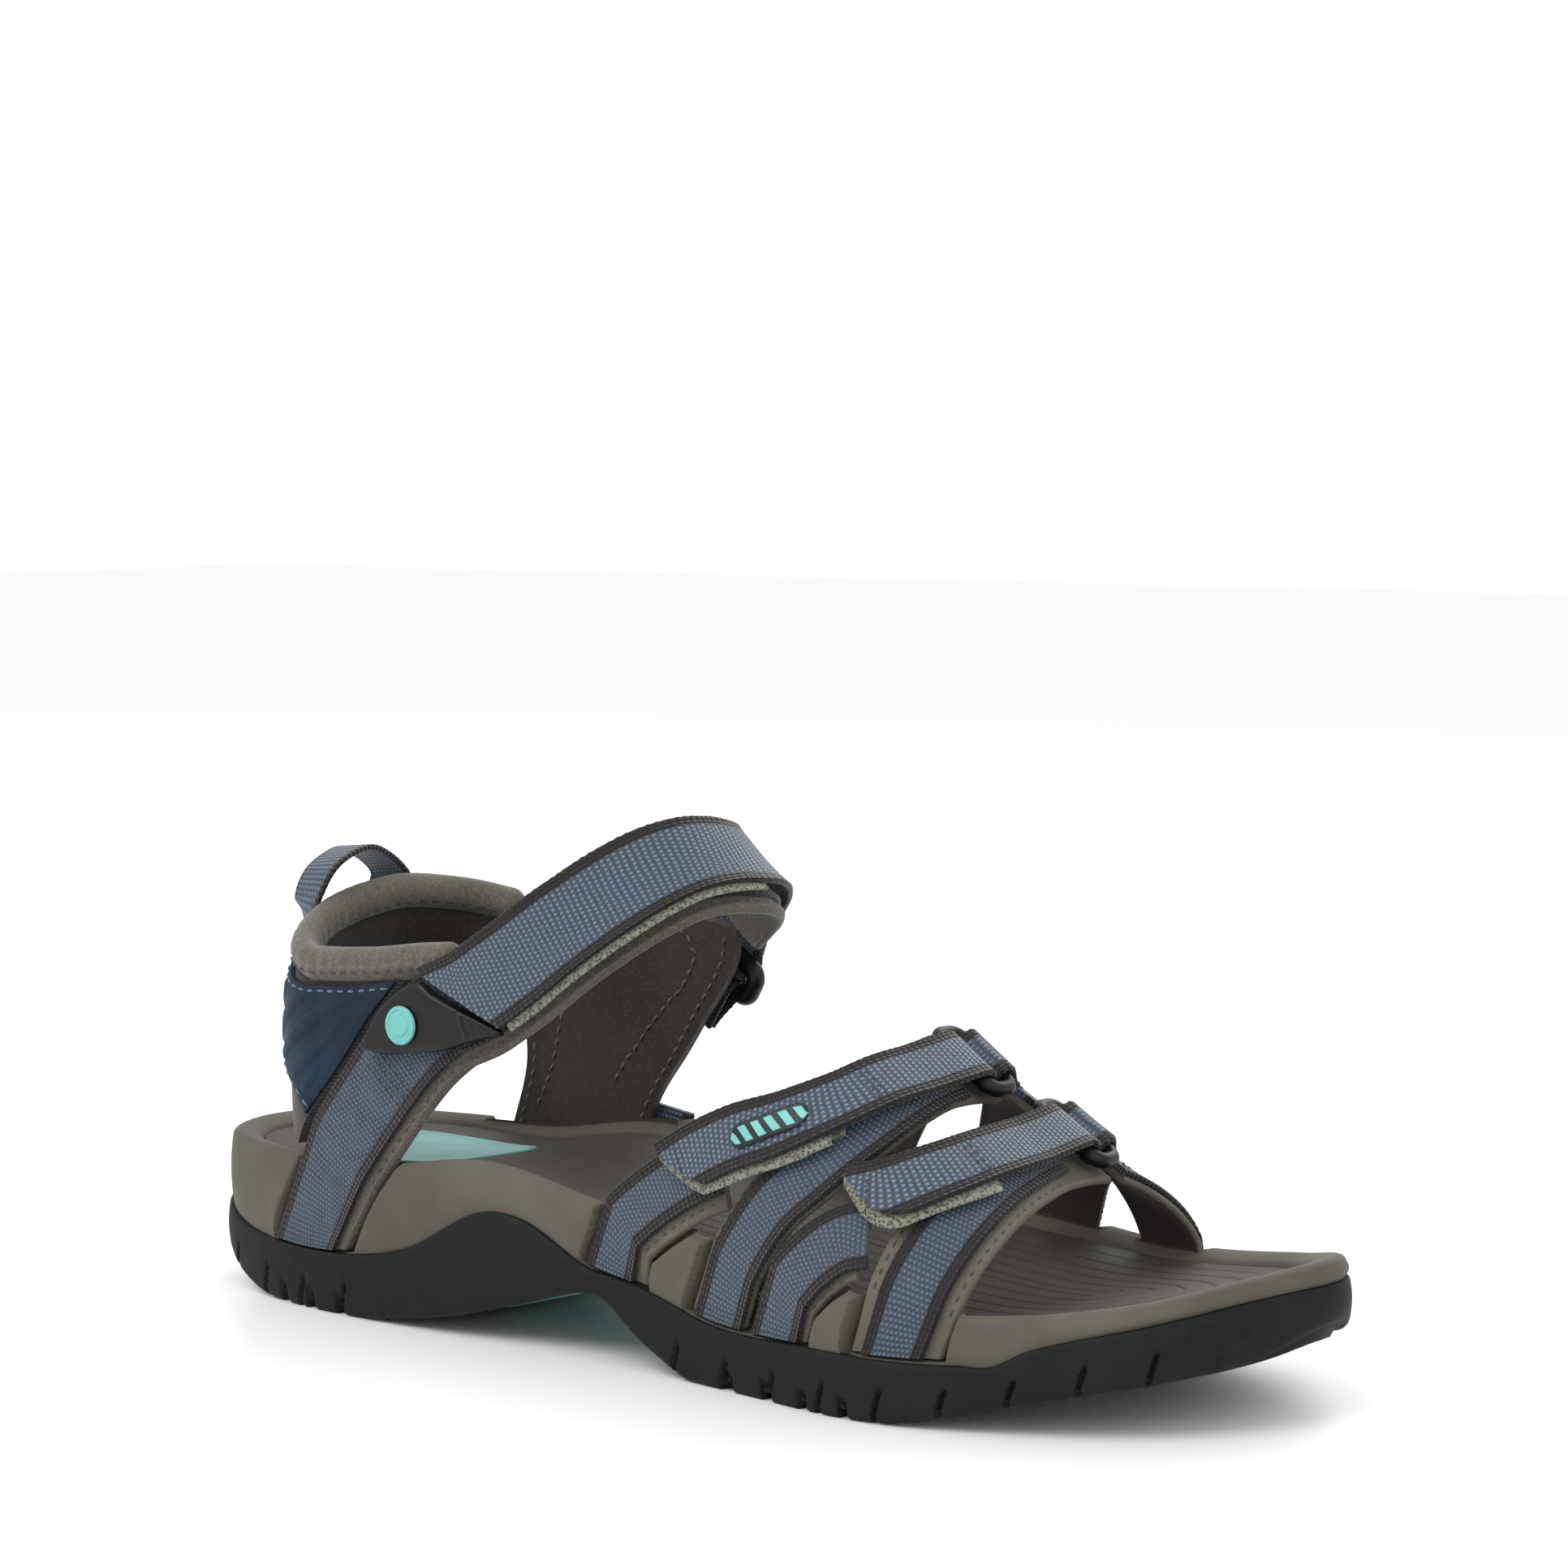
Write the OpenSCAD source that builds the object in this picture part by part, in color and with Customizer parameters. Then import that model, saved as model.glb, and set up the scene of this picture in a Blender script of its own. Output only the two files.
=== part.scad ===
// Strappy sport sandal, right foot.
// X runs from heel to toe, Y from the outer side of the foot to the inner side, Z up.
// The origin is on the ground, under the middle of the sole.

/* [Sole] */
// Overall length of the sole
sole_l = 262; // [250:1:272]
// Overall width of the sole at the ball of the foot
sole_w = 90; // [86:1:94]
// How far the midsole wall stands back from the outsole edge
wall_back = 0.8; // [0.5:0.1:1.2]
// How far the footbed edge stands back from the outsole edge
footbed_back = 7.5; // [7:0.5:9]
// Thickness of the footbed
footbed_t = 5; // [4:0.5:6]
// Width of one tread groove
groove_w = 2; // [1.5:0.1:2.5]
// Depth of one tread groove
groove_d = 2.2; // [1.5:0.1:2.6]

/* [Straps] */
// Width of the forefoot webbing
vamp_w = 12.5; // [11.5:0.1:12.5]
// Width of the ankle webbing
ankle_w = 19; // [18:0.5:20]
// Thickness of all webbing
web_t = 1.2; // [1:0.1:1.3]
// Thickness of the forefoot strap linings
vamp_lining_t = 1.5; // [1.2:0.1:1.5]
// Thickness of the padded ankle lining
ankle_lining_t = 2.3; // [2:0.1:2.4]
// Thickness of a hook tape or a loop tape
tape_t = 0.8; // [0.6:0.1:0.9]
// Air between a strap that opens and what it closes on
flap_gap = 0.4; // [0.35:0.05:0.6]

/* [Rings] */
// Radius of the round section of the two forefoot rings
vamp_ring_r = 1.6; // [1.5:0.1:1.7]
// Radius of the round section of the ankle ring
ankle_ring_r = 1.9; // [1.7:0.1:2]
// Air between a ring's bar and the webbing round it
bar_gap = 0.35; // [0.3:0.05:0.4]

/* [Hidden] */

kx = sole_l / 262;
ky = sole_w / 89;

// ---------- curves ----------
function unit(v) = v / norm(v);
function last(v) = v[len(v) - 1];
function catmull(p0, p1, p2, p3, t) =
  0.5 * (2 * p1 + (p2 - p0) * t + (2 * p0 - 5 * p1 + 4 * p2 - p3) * t * t
    + (3 * p1 - p0 - 3 * p2 + p3) * t * t * t);
// A smooth closed curve through points
function loop_curve(p, n) =
  [for (i = [0 : len(p) - 1]) for (k = [0 : n - 1])
    catmull(p[(i + len(p) - 1) % len(p)], p[i], p[(i + 1) % len(p)], p[(i + 2) % len(p)], k / n)];
// A smooth open curve through points
function open_curve(p, n) = concat(
  [for (i = [0 : len(p) - 2]) for (k = [0 : n - 1])
    catmull(p[max(i - 1, 0)], p[i], p[i + 1], p[min(i + 2, len(p) - 1)], k / n)],
  [last(p)]);
// A smooth height or width read from a table of [x, value] rows
function slope(t, i) =
  let (a = max(i - 1, 0), b = min(i + 1, len(t) - 1)) (t[b][1] - t[a][1]) / (t[b][0] - t[a][0]);
function span(t, x, i = 0) = (i >= len(t) - 2 || x < t[i + 1][0]) ? i : span(t, x, i + 1);
function read(t, x) =
  let (
    xx = min(max(x, t[0][0]), last(t)[0]),
    i = span(t, xx),
    h = t[i + 1][0] - t[i][0],
    u = (xx - t[i][0]) / h
  )
  (2 * u * u * u - 3 * u * u + 1) * t[i][1] + (u * u * u - 2 * u * u + u) * h * slope(t, i)
    + (3 * u * u - 2 * u * u * u) * t[i + 1][1] + (u * u * u - u * u) * h * slope(t, i + 1);

// ---------- sole shape ----------
OUTLINE_POINTS = [
  [-131, -2], [-122, -22], [-95, -32], [-55, -35.5], [-15, -35.5], [25, -39.5], [60, -44.3],
  [88, -38], [111, -26], [124, -8], [131, 10], [122, 28], [104, 40], [75, 44.3],
  [35, 40], [-10, 29], [-50, 28.5], [-95, 31], [-122, 20]
];
outline = [for (p = loop_curve(OUTLINE_POINTS, 4)) [p[0] * kx, p[1] * ky]];
function scaled(t) = [for (p = t) [p[0] * kx, p[1]]];
// Underside, the edge between outsole and midsole, and the rims on the two sides
BOTTOM = scaled([
  [-131, 12], [-124, 7.5], [-113, 2.4], [-103, 0], [-72, 0], [-55, 2.4], [-45, 4.4], [-30, 8.5],
  [-10, 13], [2, 6], [8, 3], [16, 0], [64, 0], [78, 2.6], [95, 6.4], [112, 10], [124, 13], [131, 18]
]);
EDGE = scaled([
  [-131, 19], [-110, 14], [-85, 12.5], [-60, 16.6], [-40, 26], [-28, 26], [-12, 19], [5, 16],
  [25, 12], [60, 12.2], [80, 12.6], [86, 12.6], [93, 16], [110, 21], [131, 26]
]);
RIM_OUTER = scaled([
  [-131, 33], [-100, 32.3], [-70, 32.5], [-40, 36.5], [-10, 31.5], [20, 28], [50, 24.2],
  [80, 21.5], [110, 24.8], [131, 30]
]);
RIM_INNER = scaled([
  [-131, 33], [-100, 32], [-70, 33], [-40, 37.5], [-10, 36], [20, 29.5], [50, 25],
  [80, 21.5], [110, 24.6], [131, 30]
]);
function drop(t, d) = [for (p = t) [p[0], p[1] - d]];
FOOTBED_TOP = drop(RIM_OUTER, 2.2);

// The outline moved inwards by d
function inset(p, d) =
  [for (i = [0 : len(p) - 1])
    let (e = unit(p[(i + 1) % len(p)] - p[(i + len(p) - 1) % len(p)])) p[i] + d * [-e[1], e[0]]];
module slab(d) {
  linear_extrude(80) polygon(inset(outline, d));
}
// Everything between two height tables, across the whole width
module between(low, high, n = 3, y0 = -60, y1 = 60) {
  side = concat(open_curve(low, n), [for (i = [len(high) * n - n : -1 : 0]) open_curve(high, n)[i]]);
  stretched = [for (p = side) [p[0] + (abs(p[0]) > 130.9 * kx ? sign(p[0]) * 4 : 0), p[1]]];
  translate([0, y1, 0]) rotate([90, 0, 0]) linear_extrude(y1 - y0) polygon(stretched);
}

// ---------- foot shape that the straps lie on ----------
// The straps' inner faces stand this far in from the outsole edge
strap_back = 4.2;
// The outline's y on side s (-1 outer, 1 inner) at a given x
function crossing(x, s) =
  let (
    n = len(outline),
    hits = [for (i = [0 : n - 1])
      let (p = outline[i], q = outline[(i + 1) % n])
      if (p[1] * s > 0 && q[1] * s > 0 && (p[0] - x) * (q[0] - x) <= 0 && p[0] != q[0])
        p[1] + (q[1] - p[1]) * (x - p[0]) / (q[0] - p[0])]
  )
  hits[0];
WIDTH_AT = [-100, -80, -60, -40, -20, 0, 15, 30, 45, 60, 75, 90];
FOOT_OUT = [for (x = WIDTH_AT) [x * kx, crossing(x * kx, -1) + strap_back]];
FOOT_IN = [for (x = WIDTH_AT) [x * kx, crossing(x * kx, 1) - strap_back]];
// Foot of the curve and its top
FOOT_BASE = scaled([
  [-100, 14], [-75, 16], [-55, 20], [-35, 26], [-20, 23], [-8, 19], [5, 16], [25, 13], [60, 12.5], [90, 14]
]);
FOOT_TOP = scaled([
  [-100, 230], [-75, 215], [-55, 190], [-35, 139], [-20, 110.5], [-8, 96], [5, 85.5], [25, 73.5],
  [45, 59.8], [60, 49.6], [75, 39.8], [90, 32.5]
]);
power = 2.35;
fall = 0.4;
function mid_y(x) = (read(FOOT_OUT, x) + read(FOOT_IN, x)) / 2;
function half_y(x) = (read(FOOT_IN, x) - read(FOOT_OUT, x)) / 2;
function base_z(x) = read(FOOT_BASE, x);
function high_z(x) = read(FOOT_TOP, x) - base_z(x);
// Place [x, a] on the foot: a = 0 on the outer side, 90 on top, 180 on the inner side
function foot(x, a) =
  a <= 0 ? [x, mid_y(x) - half_y(x), base_z(x) + a * fall]
  : a >= 180 ? [x, mid_y(x) + half_y(x), base_z(x) + (180 - a) * fall]
  : [x, mid_y(x) - half_y(x) * sign(cos(a)) * pow(abs(cos(a)), 2 / power),
    base_z(x) + high_z(x) * pow(sin(a), 2 / power)];
function level(p) =
  pow(abs(p[1] - mid_y(p[0])) / half_y(p[0]), power)
    + pow(max(p[2] - base_z(p[0]), 0) / high_z(p[0]), power);
function outward(p, d = 0.2) =
  unit([for (k = [0 : 2]) let (e = [for (j = [0 : 2]) j == k ? d : 0]) level(p + e) - level(p - e)]);
function onto_foot(p) =
  let (s = pow(level(p), -1 / power), dy = p[1] - mid_y(p[0]), dz = p[2] - base_z(p[0]))
  [p[0], mid_y(p[0]) + s * dy, base_z(p[0]) + (dz > 0 ? s : 1) * dz];

// The place on the foot straight under p
function settle(p, c, k) =
  k == 0 ? c : settle(p, onto_foot(p - ((p - c) * outward(c)) * outward(c)), k - 1);
function below(p) = settle(p, onto_foot(p), 4);

// ---------- sweeps ----------
// A closed solid through rings of points. Each ring runs along one face and back along the other.
module skin(rings) {
  n = len(rings[0]);
  m = len(rings);
  last = (m - 1) * n;
  strips = n / 2 - 2;
  faces = concat(
    [for (k = [0 : strips]) [k, k + 1, n - 1 - k]],
    [for (k = [0 : strips]) [k + 1, n - 2 - k, n - 1 - k]],
    [for (k = [0 : strips]) [last + k, last + n - 1 - k, last + k + 1]],
    [for (k = [0 : strips]) [last + k + 1, last + n - 1 - k, last + n - 2 - k]],
    [for (i = [0 : m - 2]) for (k = [0 : n - 1])
      [i * n + k, (i + 1) * n + (k + 1) % n, i * n + (k + 1) % n]],
    [for (i = [0 : m - 2]) for (k = [0 : n - 1])
      [i * n + k, (i + 1) * n + k, (i + 1) * n + (k + 1) % n]]
  );
  polyhedron([for (r = rings) for (p = r) p], faces);
}
function path_points(route, n) = [for (q = open_curve(route, n)) foot(q[0] * kx, q[1])];
function heading(c, i) = unit(c[min(i + 1, len(c) - 1)] - c[max(i - 1, 0)]);
// Where a strap's cross-section has its points, from one edge to the other
ACROSS = [-1, -0.5, 0, 0.5, 1];
// One cross-section of a strap that hugs the foot: w wide, shifted by s, from lift lo to lift hi
function hug(c, t, w, s, lo, hi) =
  let (
    b = unit(cross(outward(c), t)),
    q = [for (k = ACROSS) onto_foot(c + (s + k * w / 2) * b)],
    u = [for (p = q) outward(p)],
    m = len(q) - 1
  )
  concat([for (i = [0 : m]) q[i] + lo * u[i]], [for (i = [m : -1 : 0]) q[i] + hi * u[i]]);
module strap(route, w, lo, t, shift = 0, n = 4) {
  c = path_points(route, n);
  skin([for (i = [0 : len(c) - 1]) hug(c[i], heading(c, i), w, shift, lo, lo + t)]);
}
// A strap that runs on straight down to the outsole's edge, where its route starts
foot_gap = 0.6;
function level_ring(x0, side, w, s, lo, hi) =
  let (
    q = [for (k = ACROSS)
      let (x = x0 + side * (s + k * w / 2)) [x, mid_y(x) + side * half_y(x), read(EDGE, x) + foot_gap]],
    m = len(q) - 1
  )
  concat([for (i = [0 : m]) q[i] + [0, side * lo, 0]], [for (i = [m : -1 : 0]) q[i] + [0, side * hi, 0]]);
module leg(route, w, lo, t, shift = 0, n = 3) {
  side = route[0][1] < 90 ? -1 : 1;
  c = path_points([for (i = [1 : len(route) - 1]) route[i]], n);
  skin(concat(
    [level_ring(route[0][0] * kx, side, w, shift, lo, lo + t)],
    [for (i = [0 : len(c) - 1]) hug(c[i], heading(c, i), w, shift, lo, lo + t)]
  ));
}

// ---------- layers, measured outwards from the foot ----------
// How far a lining's sewn edge shows beyond its webbing
edge_in = 3;
skin_gap = 0.3;
// Between two plies that lie on each other
ply_gap = 0.15;
vamp_web_lo = skin_gap + vamp_lining_t + ply_gap;
vamp_tape_lo = vamp_web_lo + web_t + ply_gap;
vamp_hook_lo = vamp_tape_lo + tape_t + flap_gap;
vamp_flap_lo = vamp_hook_lo + tape_t + ply_gap;
ankle_web_lo = skin_gap + ankle_lining_t + ply_gap;
ankle_tape_lo = ankle_web_lo + web_t + ply_gap;
ankle_hook_lo = ankle_tape_lo + tape_t + flap_gap;
ankle_flap_lo = ankle_hook_lo + tape_t + ply_gap;

// ---------- routes, as [x, a] on the foot ----------
VAMP_REAR = [[-5.8, 1], [-2, 6.5], [7, 13.5], [15, 19.8], [21, 24.2]];
INSTEP = [[23.4, 1], [27.5, 8], [35, 21], [43.5, 36], [48.5, 52], [50.3, 70], [50.3, 84.5]];
INSTEP_FLAP = [[11.5, 18], [17, 23], [25, 30], [35.5, 40], [43.5, 54], [47.8, 71], [49.6, 84], [50, 91.5]];
VAMP_FRONT = [[38.6, 1], [42.5, 9.5], [48, 17], [54, 24.5]];
TOE = [[66.7, 1], [69, 14], [71, 34], [71.8, 54], [71.3, 76], [70.3, 90.5]];
TOE_FLAP = [[53.5, 33], [60, 42], [65.5, 57], [68.5, 74], [69.5, 90], [69.3, 98.5]];
ANKLE = [
  [-90.6, 0.4], [-79, 3.6], [-69, 6.5], [-59, 9.8], [-50, 13], [-40, 17.5],
  [-30, 26.5], [-21, 40], [-14, 55], [-9, 71], [-6, 88], [-5.5, 100], [-8, 112], [-13, 125], [-19.2, 138]
];
ANKLE_FLAP = [
  [-50, 13], [-40, 17.5], [-30, 26.5], [-21, 40], [-14, 55], [-9, 71], [-6, 88], [-5.5, 100],
  [-8, 112], [-13, 125.5], [-19.7, 139.5], [-26.5, 152]
];
PULL_TAB = [[-64, 9.6], [-60, 10.6], [-56.9, 11.3]];
INNER_1 = [[7, 179], [12, 167], [20, 151], [29, 138], [35, 131.5]];
INNER_2 = [[36, 179], [38.5, 167], [42, 150], [46, 135], [50.3, 121], [52.3, 111.5]];
INNER_3 = [[50.6, 179], [53, 168], [56.8, 153], [60, 143], [62.4, 137]];
INNER_4 = [[77.5, 178], [77, 165], [75.5, 150], [73.3, 134], [71.4, 119]];
INNER_REAR = [[-73, 179.7], [-67.5, 177.8], [-58, 175], [-49, 171.7], [-41.5, 168.8]];
INNER_FRONT = [[-41.4, 179.2], [-40.9, 177.4], [-40.2, 175.6]];

// ---------- rings and the straps that turn round them ----------
// A frame at the end of a route: place, direction of travel, direction along the bar, outwards
function end_frame(route, lift) =
  let (
    c = path_points(route, 4),
    k = len(c) - 1,
    u = outward(c[k]),
    b = unit(cross(u, c[k] - c[k - 1])),
    t = cross(b, u)
  )
  [c[k] + lift * u, t, b, u];
module in_frame(f) {
  multmatrix([
    [f[1][0], f[2][0], f[3][0], f[0][0]],
    [f[1][1], f[2][1], f[3][1], f[0][1]],
    [f[1][2], f[2][2], f[3][2], f[0][2]],
    [0, 0, 0, 1]
  ]) children();
}
// Centre-to-centre distance of a ring's two bars
function bar_pitch(r) = 2 * (r + bar_gap + web_t) + 0.5;
function turn_r(r) = r + bar_gap;
// A rectangular ring with round corners: the strap's bar on the frame's axis, the keeper's bar further on
corner_r = 2.4;
module bar(from, to, r) {
  d = to - from;
  translate(from) rotate([0, acos(d[2] / norm(d)), atan2(d[1], d[0])])
    cylinder(h = norm(d), r = r, $fn = 48);
}
module link_ring(f, w, r) {
  pitch = bar_pitch(r);
  end = w / 2 + 0.5 + r;
  run = end - corner_r;
  cross_run = pitch / 2 - corner_r;
  in_frame(f) translate([pitch / 2, 0, 0]) {
    for (s = [-1, 1]) {
      bar([s * pitch / 2, -run, 0], [s * pitch / 2, run, 0], r);
      bar([-cross_run, s * end, 0], [cross_run, s * end, 0], r);
    }
    for (q = [0 : 3]) {
      place = [[cross_run, run], [-cross_run, run], [-cross_run, -run], [cross_run, -run]][q];
      translate([place[0], place[1], 0]) rotate(90 * q)
        rotate_extrude(angle = 90, $fn = 64) translate([corner_r, 0]) circle(r, $fn = 32);
    }
  }
}
// Rings of points for webbing that turns round a bar, from angle a0 to a1 seen along the bar
function turn_rings(f, w, r, a0, a1, n) =
  [for (i = [0 : n])
    let (a = a0 + (a1 - a0) * i / n, d = cos(a) * f[3] + sin(a) * f[1])
    [for (k = ACROSS) f[0] + k * w / 2 * f[2] + turn_r(r) * d,
      for (k = ACROSS) f[0] - k * w / 2 * f[2] + (turn_r(r) + web_t) * d]];
// A strap that opens: along its route, rising to the bar, then round the bar
rise_from = 14;
module flap(route, w, lo, bar_lift, r) {
  c = path_points(route, 4);
  f = end_frame(route, bar_lift);
  k = len(c) - 1;
  top = bar_lift + turn_r(r);
  function lift(i) =
    let (g = min(norm(c[i] - c[k]) / rise_from, 1))
    lo + (top - lo) * pow(1 - g, 2) * (1 + 2 * g);
  skin(concat(
    [for (i = [0 : k - 1]) hug(c[i], heading(c, i), w, 0, lift(i), lift(i) + web_t)],
    turn_rings(f, w, r, 0, 150, 8)
  ));
}
// Webbing round the keeper's bar, with both legs running on over the foot
module keeper(f, w, r, leg, web_lo) {
  g0 = f[0] + bar_pitch(r) * f[1];
  under = below(g0);
  rise = (g0 - under) * outward(under);
  g = [g0, f[1], f[2], f[3]];
  steps = 4;
  function at(s) = below(g0 + s * f[1]);
  function ease(s) = let (u = s / leg) u * u * (3 - 2 * u);
  function low_leg(s) =
    let (
      lo = rise - turn_r(r) - web_t,
      v = lo + (web_lo + ply_gap - lo) * ease(s),
      q = hug(at(s), f[1], w, 0, v, v + web_t)
    )
    [for (i = [len(q) - 1 : -1 : 0]) q[i]];
  function high_leg(s) =
    let (
      lo = rise + turn_r(r),
      end_lo = web_lo + web_t + 0.4,
      v = lo + (end_lo - lo) * ease(s)
    )
    hug(at(s), f[1], w, 0, v, v + web_t);
  skin(concat(
    [for (i = [steps : -1 : 1]) low_leg(leg * i / steps)],
    turn_rings(g, w, r, -180, 0, 10),
    [for (i = [1 : steps]) high_leg(leg * i / steps)]
  ));
}
vamp_bar_lift = skin_gap + vamp_lining_t + 0.35 + vamp_ring_r + bar_gap + web_t;
ankle_bar_lift = skin_gap + ankle_lining_t + 0.35 + ankle_ring_r + bar_gap + web_t;
INSTEP_FRAME = end_frame(INSTEP_FLAP, vamp_bar_lift);
TOE_FRAME = end_frame(TOE_FLAP, vamp_bar_lift);
ANKLE_FRAME = end_frame(ANKLE_FLAP, ankle_bar_lift);

rubber = [0.11, 0.12, 0.12];
plastic = [0.08, 0.08, 0.08];
taupe = [0.40, 0.37, 0.33];
teal = [0.42, 0.75, 0.71];
blue = [0.33, 0.43, 0.53];
dark = [0.2, 0.17, 0.15];
olive = [0.42, 0.43, 0.36];
navy = [0.13, 0.24, 0.35];

// ---------- sole ----------
cup_wall = 2.6;
CUP = scaled([
  [-131, 16], [-124, 12], [-113, 7], [-103, 4.5], [-72, 4.5], [-55, 7], [-45, 9], [-30, 13],
  [-10, 16.2], [2, 10], [8, 7.5], [16, 4.5], [64, 4.5], [78, 7],
  [95, 10.6], [112, 14.4], [124, 17.4], [131, 22]
]);
board_t = 1.2;
FLOOR = drop(FOOTBED_TOP, footbed_t + board_t);
ABOVE = drop(RIM_OUTER, -16);
// The window in the arch that shows the shank
shank_x = [-52, 0];
shank_half = 17;
SHANK_LOW = drop(BOTTOM, 1);
SHANK_HIGH = drop(BOTTOM, -2.2);
module shank_block(grow = 0) {
  intersection() {
    translate([shank_x[0] * kx, -shank_half - grow, -5])
      cube([(shank_x[1] - shank_x[0]) * kx, 2 * (shank_half + grow), 60]);
    between(SHANK_LOW, SHANK_HIGH);
  }
}
HEEL_GROOVES = [-98, -89, -80];
FORE_GROOVES = [26, 36, 46, 56];
module outsole() {
  color(rubber) difference() {
    intersection() {
      slab(0);
      between(BOTTOM, EDGE);
    }
    intersection() {
      slab(cup_wall);
      between(CUP, ABOVE);
    }
    shank_block(0.1);
    for (x = concat(HEEL_GROOVES, FORE_GROOVES)) {
      translate([x * kx, -60, -1]) cube([groove_w, 120, groove_d + 1]);
    }
  }
}
module arch_shank() {
  color(teal) intersection() {
    shank_block();
    slab(8);
  }
}
// A slot in the midsole wall where a strap runs down: its middle at the ground and slot_high above it
slot_high = 45;
module leg_slot(low_x, high_x, w, s) {
  translate([0, s > 0 ? 60 : 0, 0]) rotate([90, 0, 0]) linear_extrude(60)
    polygon([[low_x * kx - w / 2, 0], [low_x * kx + w / 2, 0],
      [high_x * kx + w / 2, slot_high], [high_x * kx - w / 2, slot_high]]);
}
core_back = 5.8;
slot_extra = 9;
module midsole() {
  color(taupe) difference() {
    intersection() {
      slab(wall_back);
      between(CUP, ABOVE);
    }
    between(RIM_OUTER, drop(ABOVE, -10), 3, -60, 0);
    between(RIM_INNER, drop(ABOVE, -10), 3, 0, 60);
    // the outsole's wall stands here
    difference() {
      between(drop(CUP, 8), EDGE);
      slab(cup_wall + 0.1);
    }
    // the straps run down here
    difference() {
      union() {
        leg_slot(-19, 15, vamp_w + slot_extra + 12, -1);
        leg_slot(17, 37.5, vamp_w + slot_extra, -1);
        leg_slot(35, 52, vamp_w + slot_extra + 1, -1);
        leg_slot(64, 73, vamp_w + slot_extra + edge_in, -1);
        leg_slot(-94, -66, 42, -1);
        leg_slot(2.5, 15, vamp_w + slot_extra + 3, 1);
        leg_slot(34, 41, vamp_w + slot_extra, 1);
        leg_slot(48, 57, vamp_w + slot_extra, 1);
        leg_slot(77.5, 77, vamp_w + slot_extra, 1);
        leg_slot(-64, -64, 62, 1);
      }
      slab(core_back);
      between(drop(BOTTOM, 30), drop(EDGE, -0.1));
    }
    intersection() {
      slab(footbed_back);
      between(FLOOR, drop(ABOVE, -10));
    }
  }
}
module lasting_board() {
  color(dark) intersection() {
    slab(footbed_back + 0.1);
    between(FLOOR, drop(FLOOR, -board_t));
  }
}
INSERT_POINTS = [
  [-112, 0], [-101, -14], [-80, -17], [-64, -11], [-55, -1], [-62, 8], [-80, 14], [-101, 13]
];
insert_t = 1.2;
module insert_block(gap = 0) {
  intersection() {
    linear_extrude(60) polygon(inset([for (p = loop_curve(INSERT_POINTS, 5)) [p[0] * kx, p[1] * ky]], gap));
    between(drop(FOOTBED_TOP, insert_t), drop(FOOTBED_TOP, gap > 0 ? 0 : -5));
  }
}
module footbed() {
  color(taupe) difference() {
    intersection() {
      slab(footbed_back + 0.1);
      between(drop(FLOOR, -board_t), FOOTBED_TOP);
    }
    insert_block();
  }
}
module heel_insert() {
  color(teal) insert_block(0.1);
}

// ---------- heel ----------
heel_x = -85 * kx;
// How far behind heel_x the collar's inner face is, at a height
BACK = [[28, 19], [45, 20.7], [60, 20.7], [68, 19.5], [75, 16.5], [88, 13.5]];
round_power = 2.2;
per_degree = 0.7;
function side_y(x, z, s) =
  mid_y(x) + s * half_y(x) * pow(1 - pow((z - base_z(x)) / high_z(x), power), 1 / power);
// Place on the heel: f = 0 at the back, -90 and below on the outer side, 90 and above on the inner side
function heel(f, z) =
  abs(f) >= 90
    ? let (x = heel_x + (abs(f) - 90) * per_degree) [x, side_y(x, z, sign(f)), z]
    : let (y1 = side_y(heel_x, z, sign(f) == 0 ? 1 : sign(f)), y0 = mid_y(heel_x))
      [heel_x - read(BACK, z) * pow(cos(f), 2 / round_power),
        y0 + (y1 - y0) * pow(abs(sin(f)), 2 / round_power), z];
function heel_out(f, z) =
  unit(cross(heel(f, z + 0.5) - heel(f, z - 0.5), heel(f + 0.5, z) - heel(f - 0.5, z)));
// A closed solid between two grids of points
module plate(inner, outer) {
  r = len(inner);
  c = len(inner[0]);
  n = r * c;
  function quad(a, b, d, e) = [[a, b, d], [a, d, e]];
  faces = concat(
    [for (i = [0 : r - 2]) for (j = [0 : c - 2])
      each quad(i * c + j, i * c + j + 1, (i + 1) * c + j + 1, (i + 1) * c + j)],
    [for (i = [0 : r - 2]) for (j = [0 : c - 2])
      each quad(n + i * c + j, n + (i + 1) * c + j, n + (i + 1) * c + j + 1, n + i * c + j + 1)],
    [for (j = [0 : c - 2]) each quad(j, n + j, n + j + 1, j + 1)],
    [for (j = [0 : c - 2])
      each quad((r - 1) * c + j + 1, n + (r - 1) * c + j + 1, n + (r - 1) * c + j, (r - 1) * c + j)],
    [for (i = [0 : r - 2]) each quad((i + 1) * c, n + (i + 1) * c, n + i * c, i * c)],
    [for (i = [0 : r - 2])
      each quad(i * c + c - 1, n + i * c + c - 1, n + (i + 1) * c + c - 1, (i + 1) * c + c - 1)]
  );
  polyhedron(concat([for (q = inner) for (p = q) p], [for (q = outer) for (p = q) p]), faces);
}
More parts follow.
